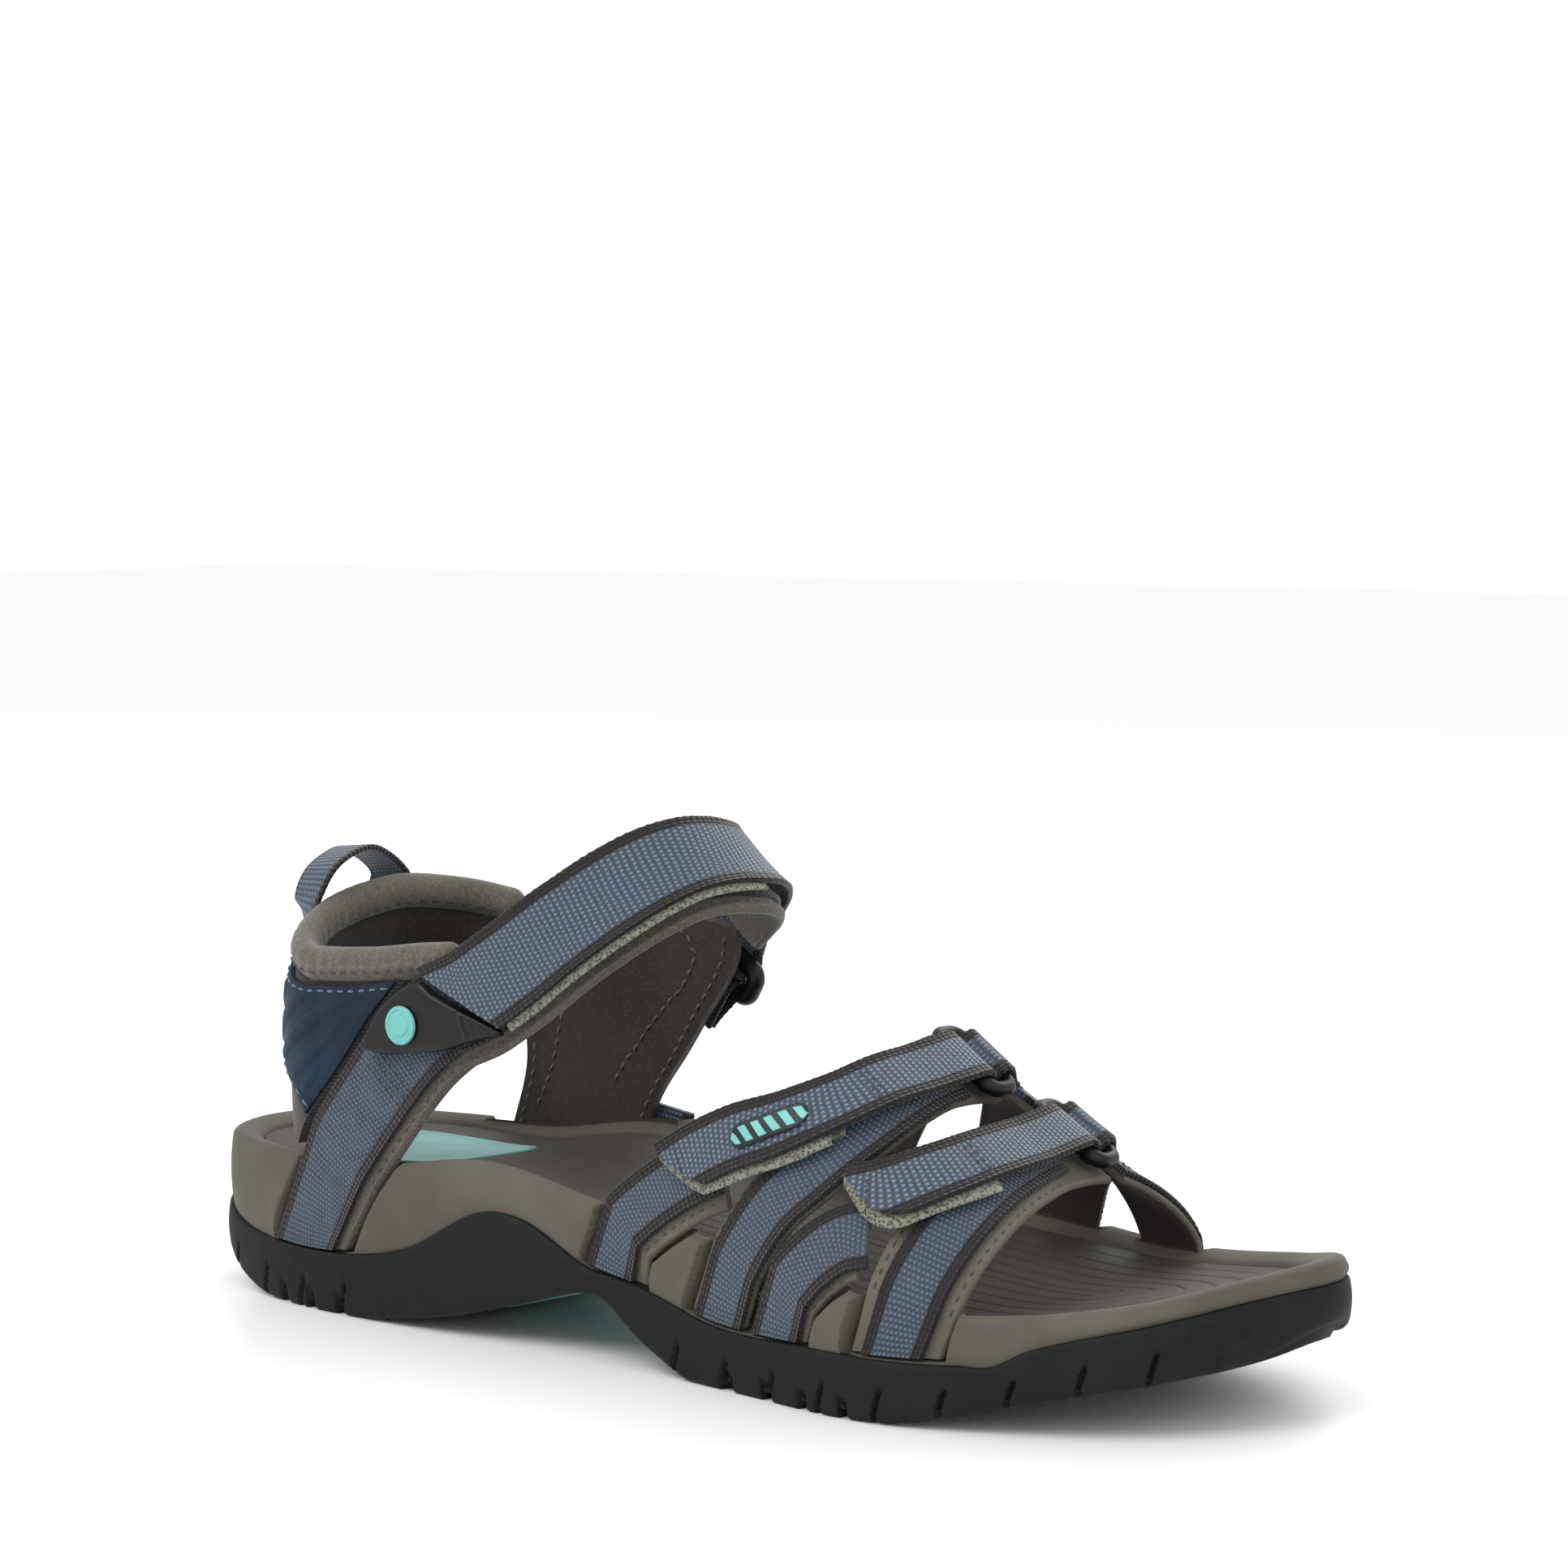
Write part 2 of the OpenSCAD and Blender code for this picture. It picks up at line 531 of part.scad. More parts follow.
// Part of the heel wall: from f0(z) to f1(z) and from low(u) to high(u), u = 0 outer end to 1 inner end
module heel_plate(F0, F1, LOW, HIGH, lo, hi, cols, rows) {
  function spot(j, i) =
    let (
      u = j / cols,
      z = read(LOW, u) + (read(HIGH, u) - read(LOW, u)) * i / rows,
      f = read(F0, z) + (read(F1, z) - read(F0, z)) * u
    )
    [f, z];
  function grid(l) =
    [for (i = [0 : rows])
      [for (j = [0 : cols]) let (q = spot(j, i)) heel(q[0], q[1]) + l * heel_out(q[0], q[1])]];
  plate(grid(hi), grid(lo));
}
LINING_F0 = [
  [28, -56], [40, -78], [47, -91.5], [54, -100.5], [62.6, -110.5], [70, -120.5], [76, -130]
];
LINING_F1 = [[40, 95.5], [80, 95.5]];
LINING_LOW = [[0, 34], [0.12, 38], [0.3, 45], [0.5, 49], [0.75, 52], [1, 56]];
COLLAR_HIGH = [
  [0, 72], [0.08, 70], [0.2, 69], [0.35, 71.5], [0.5, 76.5], [0.65, 79.5], [0.8, 78.5], [1, 76]
];
roll_r = 3;
collar_t = 2.3;
module heel_collar_lining() {
  color(dark)
    heel_plate(LINING_F0, LINING_F1, LINING_LOW, COLLAR_HIGH, skin_gap, skin_gap + collar_t, 28, 8);
}
// The padded roll along the top of the collar
module heel_collar_roll() {
  function roll_ring(u) =
    let (
      z = read(COLLAR_HIGH, u) + roll_r + 0.6,
      f = read(LINING_F0, z) + (read(LINING_F1, z) - read(LINING_F0, z)) * u,
      n = heel_out(f, z),
      c = heel(f, z) + (skin_gap + collar_t / 2) * n
    )
    [for (a = [0 : 36 : 324]) c + roll_r * (cos(a) * n + sin(a) * [0, 0, 1])];
  color(taupe) skin([for (i = [0 : 36]) roll_ring(i / 36)]);
}
COUNTER_F1 = [[40, 90], [80, 92]];
COUNTER_LOW = [[0, 41], [0.12, 46], [0.3, 52], [0.5, 55], [0.75, 57], [1, 60]];
counter_t = 1.2;
module heel_counter() {
  lo = skin_gap + collar_t + 0.2;
  color(navy)
    heel_plate(LINING_F0, COUNTER_F1, COUNTER_LOW, drop(COLLAR_HIGH, 1), lo, lo + counter_t, 28, 6);
}
// Webbing loop over the back of the collar: places and the way its face looks there
loop_lift = skin_gap + collar_t + counter_t + 1.6;
function on_heel(f, z, more = 0) = heel(f, z) + (loop_lift + more) * heel_out(f, z);
LOOP = [
  on_heel(-40, 64), on_heel(-40, 70), on_heel(-40, 77, 2.4), [-107 * kx, -16, 86.5],
  [-106.5 * kx, -8, 92.5], [-106.5 * kx, 0, 94.5], [-106.5 * kx, 7, 92.5], [-106 * kx, 12.5, 87.5],
  on_heel(37, 82, 2.4), on_heel(39, 74), on_heel(40, 66)
];
LOOP_FACE = [
  heel_out(-40, 66), heel_out(-40, 71), [-0.3, -0.95, 0.1], [-0.15, -0.8, 0.6], [-0.1, -0.4, 0.9],
  [-0.1, 0, 1], [-0.1, 0.4, 0.9], [-0.15, 0.85, 0.5], [-0.35, 0.93, 0.1], heel_out(38, 73), heel_out(40, 66)
];
loop_w = 10;
module heel_pull_loop() {
  c = open_curve(LOOP, 4);
  face = open_curve(LOOP_FACE, 4);
  function loop_ring(i) =
    let (t = heading(c, i), b = unit(cross(face[i], t)), n = cross(t, b))
    [c[i] - loop_w / 2 * b - web_t / 2 * n, c[i] + loop_w / 2 * b - web_t / 2 * n,
      c[i] + loop_w / 2 * b + web_t / 2 * n, c[i] - loop_w / 2 * b + web_t / 2 * n];
  color(blue) skin([for (i = [0 : len(c) - 1]) loop_ring(i)]);
}

// ---------- ankle ----------
module ankle_lining() {
  color(taupe) leg(ANKLE, ankle_w + edge_in, skin_gap, ankle_lining_t, -edge_in / 2);
}
module ankle_webbing() {
  color(blue) leg(ANKLE, ankle_w, ankle_web_lo, web_t);
}
ANKLE_TAPE = [[-38, 18.8], [-30, 26.5], [-21, 40], [-14, 55], [-9, 71], [-6, 88], [-5.5, 98]];
module ankle_loop_tape() {
  color(olive) strap(ANKLE_TAPE, ankle_w - 1, ankle_tape_lo, tape_t, 0, 3);
}
// The slanting cut at the strap's free end
module end_cut() {
  translate([-55 * kx, -60, 74.8]) rotate([0, 24, 0]) translate([-20, 0, -40]) cube([60, 60, 40]);
}
module ankle_strap() {
  color(blue) difference() {
    flap(ANKLE_FLAP, ankle_w, ankle_flap_lo, ankle_bar_lift, ankle_ring_r);
    end_cut();
  }
}
module ankle_hook_tape() {
  color(olive) strap(ANKLE_TAPE, ankle_w + 3, ankle_hook_lo, tape_t, 0, 3);
}
// The moulded end piece: its lower edge and its upper edge, as [x, a] from the tip forwards
TAB_LOW = [[-68, 9.1], [-62.5, 9.1], [-55, 9.7], [-46.9, 10.9], [-39.1, 13.4], [-32.6, 16.3]];
TAB_HIGH = [[-67.8, 9.7], [-63.5, 11.8], [-54.3, 14.4], [-49.2, 14.5], [-42, 15.2], [-32.5, 16.8]];
tab_rows = 6;
module ankle_pull_tab() {
  low = open_curve(TAB_LOW, 3);
  high = open_curve(TAB_HIGH, 3);
  function grid(l) =
    [for (i = [0 : tab_rows]) [for (j = [0 : len(low) - 1])
      let (q = low[j] + (high[j] - low[j]) * i / tab_rows, p = foot(q[0] * kx, q[1])) p + l * outward(p)]];
  color(plastic) plate(grid(ankle_hook_lo), grid(ankle_flap_lo + web_t));
}
module pull_tab_badge() {
  f = end_frame(PULL_TAB, ankle_flap_lo + web_t + 0.25);
  color(teal) in_frame(f) cylinder(h = 0.6, r = 4, $fn = 48);
}
module ankle_ring() {
  color(plastic) link_ring(ANKLE_FRAME, ankle_w, ankle_ring_r);
}
module ankle_ring_keeper() {
  color(blue) keeper(ANKLE_FRAME, ankle_w - 1, ankle_ring_r, 10, ankle_web_lo);
}
// The inner side panel of the ankle: a fan from the ring down to the sole
module medial_quarter_lining() {
  REAR = [[0, -90], [0.25, -84.5], [0.45, -80.3], [0.6, -80.3], [1, -80.3]];
  FRONT = [[0, -49], [0.25, -43], [0.45, -34.5], [0.65, -27], [0.85, -19], [1, -16]];
  TOP = [[0, 82], [0.5, 84], [1, 80]];
  cols = 22;
  rows = 10;
  function spot(i, j) =
    let (
      v = i / rows,
      u = j / cols,
      x = (read(REAR, v) + (read(FRONT, v) - read(REAR, v)) * u) * kx,
      z0 = read(EDGE, x) + foot_gap
    )
    [x, side_y(x, max(z0 + (read(TOP, u) - z0) * v, base_z(x)), 1), z0 + (read(TOP, u) - z0) * v];
  function grid(l) =
    [for (i = [0 : rows]) [for (j = [0 : cols]) let (p = spot(i, j)) p + l * outward(p)]];
  color(dark) plate(grid(skin_gap + ankle_lining_t), grid(skin_gap));
}
module medial_rear_webbing() {
  color(blue) leg(INNER_REAR, ankle_w - 1, ankle_web_lo, web_t);
}
module medial_front_webbing() {
  color(blue) leg(INNER_FRONT, ankle_w - 6, ankle_web_lo, web_t, 0, 1);
}

// ---------- forefoot, outer side ----------
module vamp_lining(route, shift = 0, extra = edge_in) {
  color(taupe) leg(route, vamp_w + extra, skin_gap, vamp_lining_t, shift);
}
module vamp_web(route) {
  color(blue) leg(route, vamp_w, vamp_web_lo, web_t);
}
module vamp_lining_rear() {
  vamp_lining(VAMP_REAR, -edge_in / 2);
}
module vamp_webbing_rear() {
  vamp_web(VAMP_REAR);
}
module instep_lining() {
  vamp_lining(INSTEP, edge_in / 4, edge_in / 2);
}
module instep_webbing() {
  vamp_web(INSTEP);
}
module vamp_lining_front() {
  vamp_lining(VAMP_FRONT, -edge_in / 4, edge_in / 2);
}
module vamp_webbing_front() {
  vamp_web(VAMP_FRONT);
}
module toe_lining() {
  vamp_lining(TOE, 0, 2 * edge_in);
}
module toe_webbing() {
  vamp_web(TOE);
}
INSTEP_TAPE = [[26, 30], [36, 40], [44, 53]];
TOE_TAPE = [[60, 42], [66, 57], [69, 69]];
module instep_loop_tape() {
  color(olive) strap(INSTEP_TAPE, vamp_w - 1, vamp_tape_lo, tape_t, 0, 4);
}
module toe_loop_tape() {
  color(olive) strap(TOE_TAPE, vamp_w - 1, vamp_tape_lo, tape_t, 0, 4);
}

// ---------- forefoot straps that open ----------
INSTEP_HOOK = [[11, 17.5], [17, 23], [25, 29.5], [36, 40], [42, 49.5]];
TOE_HOOK = [[53, 32.5], [60, 42], [66, 57], [68.5, 67]];
module instep_strap() {
  color(blue) flap(INSTEP_FLAP, vamp_w, vamp_flap_lo, vamp_bar_lift, vamp_ring_r);
}
module instep_hook_tape() {
  color(olive) strap(INSTEP_HOOK, vamp_w + 2, vamp_hook_lo, tape_t, 0, 3);
}
BADGE = [[26.5, 30.5], [33, 36.8], [40, 45.4]];
module instep_badge() {
  color(teal) strap(BADGE, vamp_w - 6, vamp_flap_lo + web_t + 0.1, 0.6, 0, 4);
}
module toe_strap() {
  color(blue) flap(TOE_FLAP, vamp_w, vamp_flap_lo, vamp_bar_lift, vamp_ring_r);
}
module toe_hook_tape() {
  color(olive) strap(TOE_HOOK, vamp_w + 2, vamp_hook_lo, tape_t, 0, 4);
}
module instep_ring() {
  color(plastic) link_ring(INSTEP_FRAME, vamp_w, vamp_ring_r);
}
module toe_ring() {
  color(plastic) link_ring(TOE_FRAME, vamp_w, vamp_ring_r);
}
module instep_ring_keeper() {
  color(blue) keeper(INSTEP_FRAME, vamp_w - 0.5, vamp_ring_r, 8, vamp_web_lo);
}
module toe_ring_keeper() {
  color(blue) keeper(TOE_FRAME, vamp_w - 0.5, vamp_ring_r, 8, vamp_web_lo);
}

// ---------- forefoot, inner side ----------
module medial_lining_1() {
  vamp_lining(INNER_1, 0, 1);
}
module medial_webbing_1() {
  vamp_web(INNER_1);
}
module medial_lining_2() {
  vamp_lining(INNER_2, 0, 1);
}
module medial_webbing_2() {
  vamp_web(INNER_2);
}
module medial_lining_3() {
  vamp_lining(INNER_3, 0, 1);
}
module medial_webbing_3() {
  vamp_web(INNER_3);
}
module medial_lining_4() {
  vamp_lining(INNER_4, 0, 1.5);
}
module medial_webbing_4() {
  vamp_web(INNER_4);
}

outsole();
midsole();
lasting_board();
footbed();
heel_insert();
arch_shank();
heel_collar_lining();
heel_collar_roll();
heel_counter();
heel_pull_loop();
ankle_lining();
ankle_webbing();
ankle_loop_tape();
medial_quarter_lining();
medial_rear_webbing();
medial_front_webbing();
ankle_ring_keeper();
ankle_ring();
ankle_strap();
ankle_hook_tape();
ankle_pull_tab();
pull_tab_badge();
vamp_lining_rear();
vamp_webbing_rear();
instep_lining();
instep_webbing();
instep_loop_tape();
vamp_lining_front();
vamp_webbing_front();
toe_lining();
toe_webbing();
toe_loop_tape();
instep_ring_keeper();
instep_ring();
instep_strap();
instep_hook_tape();
instep_badge();
toe_ring_keeper();
toe_ring();
toe_strap();
toe_hook_tape();
medial_lining_1();
medial_webbing_1();
medial_lining_2();
medial_webbing_2();
medial_lining_3();
medial_webbing_3();
medial_lining_4();
medial_webbing_4();
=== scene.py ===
"""Strappy sport sandal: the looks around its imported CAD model.

Lengths are millimetres until a mesh is made. The frame is the CAD's own: X to the toe, Y to the foot's inner
side, Z up.
"""

import math

import bmesh
import bpy
import numpy as np
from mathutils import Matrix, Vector


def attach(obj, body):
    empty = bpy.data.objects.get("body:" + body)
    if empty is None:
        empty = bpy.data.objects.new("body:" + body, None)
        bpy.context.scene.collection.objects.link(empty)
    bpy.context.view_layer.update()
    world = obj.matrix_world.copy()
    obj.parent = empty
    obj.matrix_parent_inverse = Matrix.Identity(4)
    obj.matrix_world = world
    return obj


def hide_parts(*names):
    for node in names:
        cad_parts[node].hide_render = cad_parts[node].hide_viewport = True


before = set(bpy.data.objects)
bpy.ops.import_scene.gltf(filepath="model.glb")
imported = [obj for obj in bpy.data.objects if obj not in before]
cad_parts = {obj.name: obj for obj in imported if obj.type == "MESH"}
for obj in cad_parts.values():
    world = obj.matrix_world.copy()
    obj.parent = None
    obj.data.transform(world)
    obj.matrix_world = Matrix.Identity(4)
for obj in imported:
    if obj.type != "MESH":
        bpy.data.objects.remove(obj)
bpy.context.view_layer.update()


MM = 0.001
PI = math.pi


# ---------- curves ----------
def open_curve(points, n):
    p = np.asarray(points, float)
    q = np.vstack([p[:1], p, p[-1:]])
    t = (np.arange(n) / n)[:, None]
    rows = []
    for i in range(len(p) - 1):
        p0, p1, p2, p3 = q[i], q[i + 1], q[i + 2], q[i + 3]
        rows.append(
            0.5 * (2 * p1 + (p2 - p0) * t + (2 * p0 - 5 * p1 + 4 * p2 - p3) * t**2
                   + (3 * p1 - p0 - 3 * p2 + p3) * t**3)
        )
    return np.vstack(rows + [p[-1:]])


def loop_curve(points, n):
    p = np.asarray(points, float)
    whole = open_curve(np.vstack([p[-1:], p, p[:2]]), n)
    return whole[n : n + len(p) * n]


def read(rows, x):
    t = np.asarray(rows, float)
    x = np.clip(np.asarray(x, float), t[0, 0], t[-1, 0])
    i = np.clip(np.searchsorted(t[:, 0], x, side="right") - 1, 0, len(t) - 2)
    k = np.arange(len(t))
    a, b = np.maximum(k - 1, 0), np.minimum(k + 1, len(t) - 1)
    m = (t[b, 1] - t[a, 1]) / (t[b, 0] - t[a, 0])
    h = t[i + 1, 0] - t[i, 0]
    u = (x - t[i, 0]) / h
    return (
        (2 * u**3 - 3 * u**2 + 1) * t[i, 1] + (u**3 - 2 * u**2 + u) * h * m[i]
        + (3 * u**2 - 2 * u**3) * t[i + 1, 1] + (u**3 - u**2) * h * m[i + 1]
    )


def unit(v):
    return v / np.maximum(np.linalg.norm(v, axis=-1, keepdims=True), 1e-12)


# ---------- outlines and heights of the sole ----------
# How much wider the sole is made than the outline's points
KY = 90 / 89
OUTLINE_POINTS = [
    [-131, -2], [-122, -22], [-95, -32], [-55, -35.5], [-15, -35.5], [25, -39.5], [60, -44.3],
    [88, -38], [111, -26], [124, -8], [131, 10], [122, 28], [104, 40], [75, 44.3],
    [35, 40], [-10, 29], [-50, 28.5], [-95, 31], [-122, 20],
]
BOTTOM = [
    [-131, 12], [-124, 7.5], [-113, 2.4], [-103, 0], [-72, 0], [-55, 2.4], [-45, 4.4], [-30, 8.5],
    [-10, 13], [2, 6], [8, 3], [16, 0], [64, 0], [78, 2.6], [95, 6.4], [112, 10], [124, 13], [131, 18],
]
EDGE = [
    [-131, 19], [-110, 14], [-85, 12.5], [-60, 16.6], [-40, 26], [-28, 26], [-12, 19], [5, 16],
    [25, 12], [60, 12.2], [80, 12.6], [86, 12.6], [93, 16], [110, 21], [131, 26],
]
RIM_OUTER = [
    [-131, 33], [-100, 32.3], [-70, 32.5], [-40, 36.5], [-10, 31.5], [20, 28], [50, 24.2],
    [80, 21.5], [110, 24.8], [131, 30],
]
RIM_INNER = [
    [-131, 33], [-100, 32], [-70, 33], [-40, 37.5], [-10, 36], [20, 29.5], [50, 25],
    [80, 21.5], [110, 24.6], [131, 30],
]


def outline(n):
    return loop_curve(OUTLINE_POINTS, n) * [1, KY]


def crossing(x, s):
    p = outline(4)
    q = np.roll(p, -1, axis=0)
    for a, b in zip(p, q):
        if a[1] * s > 0 and b[1] * s > 0 and (a[0] - x) * (b[0] - x) <= 0 and a[0] != b[0]:
            return a[1] + (b[1] - a[1]) * (x - a[0]) / (b[0] - a[0])


# ---------- foot form ----------
STRAP_BACK = 4.2
WIDTH_AT = [-100, -80, -60, -40, -20, 0, 15, 30, 45, 60, 75, 90]
FOOT_OUT = [[x, crossing(x, -1) + STRAP_BACK] for x in WIDTH_AT]
FOOT_IN = [[x, crossing(x, 1) - STRAP_BACK] for x in WIDTH_AT]
FOOT_BASE = [
    [-100, 14], [-75, 16], [-55, 20], [-35, 26], [-20, 23], [-8, 19], [5, 16], [25, 13], [60, 12.5], [90, 14],
]
FOOT_TOP = [
    [-100, 230], [-75, 215], [-55, 190], [-35, 139], [-20, 110.5], [-8, 96], [5, 85.5], [25, 73.5],
    [45, 59.8], [60, 49.6], [75, 39.8], [90, 32.5],
]
POWER = 2.35
FALL = 0.4


def mid_y(x):
    return (read(FOOT_OUT, x) + read(FOOT_IN, x)) / 2


def half_y(x):
    return (read(FOOT_IN, x) - read(FOOT_OUT, x)) / 2


def base_z(x):
    return read(FOOT_BASE, x)


def high_z(x):
    return read(FOOT_TOP, x) - base_z(x)


def foot(x, a):
    x, a = np.broadcast_arrays(np.asarray(x, float), np.asarray(a, float))
    r = np.radians(np.clip(a, 0, 180))
    c, s = np.cos(r), np.abs(np.sin(r))
    low = (np.minimum(a, 0) + np.minimum(180 - a, 0)) * FALL
    s = np.where((a <= 0) | (a >= 180), 0, s)
    y = mid_y(x) - half_y(x) * np.sign(c) * np.abs(c) ** (2 / POWER)
    return np.stack([x, y, base_z(x) + high_z(x) * s ** (2 / POWER) + low], -1)


def level(p):
    x, y, z = p[..., 0], p[..., 1], p[..., 2]
    return (np.abs(y - mid_y(x)) / half_y(x)) ** POWER + (np.maximum(z - base_z(x), 0) / high_z(x)) ** POWER


def outward(p, d=0.2):
    e = np.eye(3) * d
    return unit(np.stack([level(p + e[k]) - level(p - e[k]) for k in range(3)], -1))


def onto_foot(p):
    s = level(p) ** (-1 / POWER)
    dy = p[..., 1] - mid_y(p[..., 0])
    dz = p[..., 2] - base_z(p[..., 0])
    return np.stack(
        [p[..., 0], mid_y(p[..., 0]) + s * dy, base_z(p[..., 0]) + np.where(dz > 0, s, 1) * dz], -1
    )


def below(p):
    c = onto_foot(p)
    for _ in range(4):
        n = outward(c)
        c = onto_foot(p - np.sum((p - c) * n, -1, keepdims=True) * n)
    return c


def path_points(route, n=24):
    p = open_curve(route, n)
    return foot(p[:, 0], p[:, 1])


def evenly(points, step):
    """The same line with its points step apart."""
    d = np.r_[0, np.cumsum(np.linalg.norm(np.diff(points, axis=0), axis=1))]
    s = np.linspace(0, d[-1], max(int(round(d[-1] / step)), 2) + 1)
    return np.stack([np.interp(s, d, points[:, k]) for k in range(points.shape[1])], -1), s


def travel(points):
    t = np.empty_like(points)
    t[1:-1] = points[2:] - points[:-2]
    t[0], t[-1] = points[1] - points[0], points[-1] - points[-2]
    return unit(t)


def smoothstep(a, b, x):
    u = np.clip((x - a) / (b - a), 0, 1)
    return u * u * (3 - 2 * u)


# ---------- meshes ----------
def add_mesh(name, points, faces, mat, body, nodes=(), along=None, sharp=40):
    """A closed piece of the object, from points in millimetres."""
    me = bpy.data.meshes.new(name)
    me.from_pydata((np.asarray(points, float) * MM).tolist(), [], [list(map(int, f)) for f in faces])
    me.materials.append(mat)
    if along is not None:
        a = me.attributes.new("along", "FLOAT_VECTOR", "POINT")
        a.data.foreach_set("vector", np.asarray(along, np.float32).ravel())
    bm = bmesh.new()
    bm.from_mesh(me)
    bmesh.ops.recalc_face_normals(bm, faces=bm.faces)
    bm.to_mesh(me)
    bm.free()
    me.shade_smooth()
    me.set_sharp_from_angle(angle=math.radians(sharp))
    o = bpy.data.objects.new(name, me)
    bpy.context.scene.collection.objects.link(o)
    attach(o, body)
    if nodes:
        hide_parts(*nodes)
    return o


def tube_faces(n, k, caps=True):
    i, j = np.meshgrid(np.arange(n - 1), np.arange(k), indexing="ij")
    a = i * k + j
    b = i * k + (j + 1) % k
    faces = np.stack([a, a + k, b + k, b], -1).reshape(-1, 4).tolist()
    if caps:
        faces += [list(range(k)), list(range((n - 1) * k, n * k))[::-1]]
    return faces


def tube(name, rows, along, mat, body, nodes=()):
    """A closed solid through the rows of points, with flat ends."""
    flat = None if along is None else along.reshape(-1, 3)
    return add_mesh(name, rows.reshape(-1, 3), tube_faces(*rows.shape[:2]), mat, body, nodes, flat)


def shell(name, outer, inner, along, mat, body, nodes):
    """A closed solid between two grids of points."""
    r, c = outer.shape[:2]
    i, j = np.meshgrid(np.arange(r - 1), np.arange(c - 1), indexing="ij")
    a = (i * c + j).ravel()
    top = np.stack([a, a + 1, a + c + 1, a + c], -1)
    low = top[:, ::-1] + r * c
    far = (r - 1) * c + np.arange(c - 2, -1, -1)
    e = np.r_[np.arange(c), np.arange(1, r) * c + c - 1, far, np.arange(r - 2, 0, -1) * c]
    f = np.roll(e, -1)
    rim = np.stack([f, e, e + r * c, f + r * c], -1)
    faces = np.vstack([top, low, rim]).tolist()
    points = np.concatenate([outer.reshape(-1, 3), inner.reshape(-1, 3)])
    both = np.concatenate([along.reshape(-1, 3)] * 2)
    return add_mesh(name, points, faces, mat, body, nodes, both, sharp=50)


def section(w, t, grow, flat, turn, knobs=0.0, crown=0.0):
    """A strap's cross-section as rows of (across, height, how much the knobs at the edge move it)."""
    r = t / 2
    core = w / 2 - r
    low = [(s, 0, 0) for s in np.linspace(-core, core, flat)]
    wide = r + grow
    right = [(core + wide * np.sin(a), r - wide * np.cos(a), knobs * np.sin(a)) for a in np.radians(turn)]
    high = [(-s, t + crown * (1 - (s / core) ** 2), 0) for s, _, _ in low]
    left = [(-s, h, k) for s, h, k in right[::-1]]
    return np.array(low + right + high + left)


def web_profile(w, t, bead=0.12):
    return section(w, t, bead, 10, np.linspace(20, 160, 7), 1.0)


def soft_profile(w, t, crown=0.0, flat=12, roll=0.0):
    return section(w, t, roll, flat, np.linspace(15, 165, 8), crown=crown)


KNOB_PITCH = 1.25


def knobbed(profile, v, size=0.1):
    """The profile's across and height at each place v, with knobs along the edges."""
    s = profile[None, :, 0] + np.sign(profile[None, :, 0]) * profile[None, :, 2] * size * np.sin(
        2 * PI * v[:, None] / KNOB_PITCH)
    h = np.repeat(profile[None, :, 1], len(v), 0)
    return s, h


def face_of(profile, h):
    """-1 on the inner face, 1 on the outer face, and between them on the edges."""
    low, high = profile[0, 1], profile[len(profile) // 2, 1]
    return (2 * h - low - high) / max(abs(high - low), 1e-9)


def rounded_end(s, v, trim):
    """A free end cut on a slant with a round lower corner: the lower edge starts later along the strap."""
    half = s.max()
    gone = np.clip(1 - v / trim, 0, 1)
    low = -half + 2 * half * 0.82 * gone**1.9
    return low[:, None] + (s + half) * (half - low[:, None]) / (2 * half)


def hug_rows(c, t, v, profile, lo, shift=0.0, knob=0.1, trim=0.0):
    """Cross-sections that lie on the foot at the places c, heading t. lo is the lift, or a lift for each."""
    b = unit(np.cross(outward(c), t))
    s, h = knobbed(profile, v, knob)
    if trim:
        s = rounded_end(s, v, trim)
    q = onto_foot(c[:, None] + (shift + s)[..., None] * b[:, None])
    lift = np.broadcast_to(np.asarray(lo, float).reshape(-1, 1), (len(c), 1)) + h
    along = np.stack([s, np.repeat(v[:, None], s.shape[1], 1), face_of(profile, h)], -1)
    return q + lift[..., None] * outward(q), along


FOOT_GAP = 0.6


def leg_rows(route, profile, lo, shift=0.0, step=0.7, knob=0.1):
    """A strap that starts level on the outsole's edge and follows its route up over the foot."""
    c, v = evenly(path_points(route[1:]), step)
    side = -1 if route[0][1] < 90 else 1
    x0 = route[0][0]
    low = foot(np.array([x0]), np.array([0.0 if side < 0 else 180.0]))[0]
    low[2] = read(EDGE, x0) + FOOT_GAP
    rise = np.linalg.norm(c[0] - low)
    count = max(int(round(rise / step)), 2)
    share = np.arange(count) / count
    v = np.r_[share * rise, v + rise]
    rows, along = hug_rows(c, travel(c), v[count:], profile, lo, shift, knob)
    s, h = knobbed(profile, v[:count], knob)
    x = x0 + side * (shift + s)
    level = np.stack([x, mid_y(x) + side * (half_y(x) + lo + h), read(EDGE, x) + FOOT_GAP], -1)
    drop = level + share[:, None, None] * (rows[0][None] - level)
    first = np.stack([s, np.repeat(v[:count, None], s.shape[1], 1), np.repeat(along[:1, :, 2], count, 0)], -1)
    return np.concatenate([drop, rows]), np.concatenate([first, along])


def strap_rows(route, profile, lo, shift=0.0, step=0.7, knob=0.1, trim=0.0):
    c, v = evenly(path_points(route), step)
    return hug_rows(c, travel(c), v, profile, lo, shift, knob, trim)


def end_frame(route, lift):
    c = path_points(route, 4)
    u = outward(c[-1])
    b = unit(np.cross(u, c[-1] - c[-2]))
    return c[-1] + lift * u, np.cross(b, u), b, u


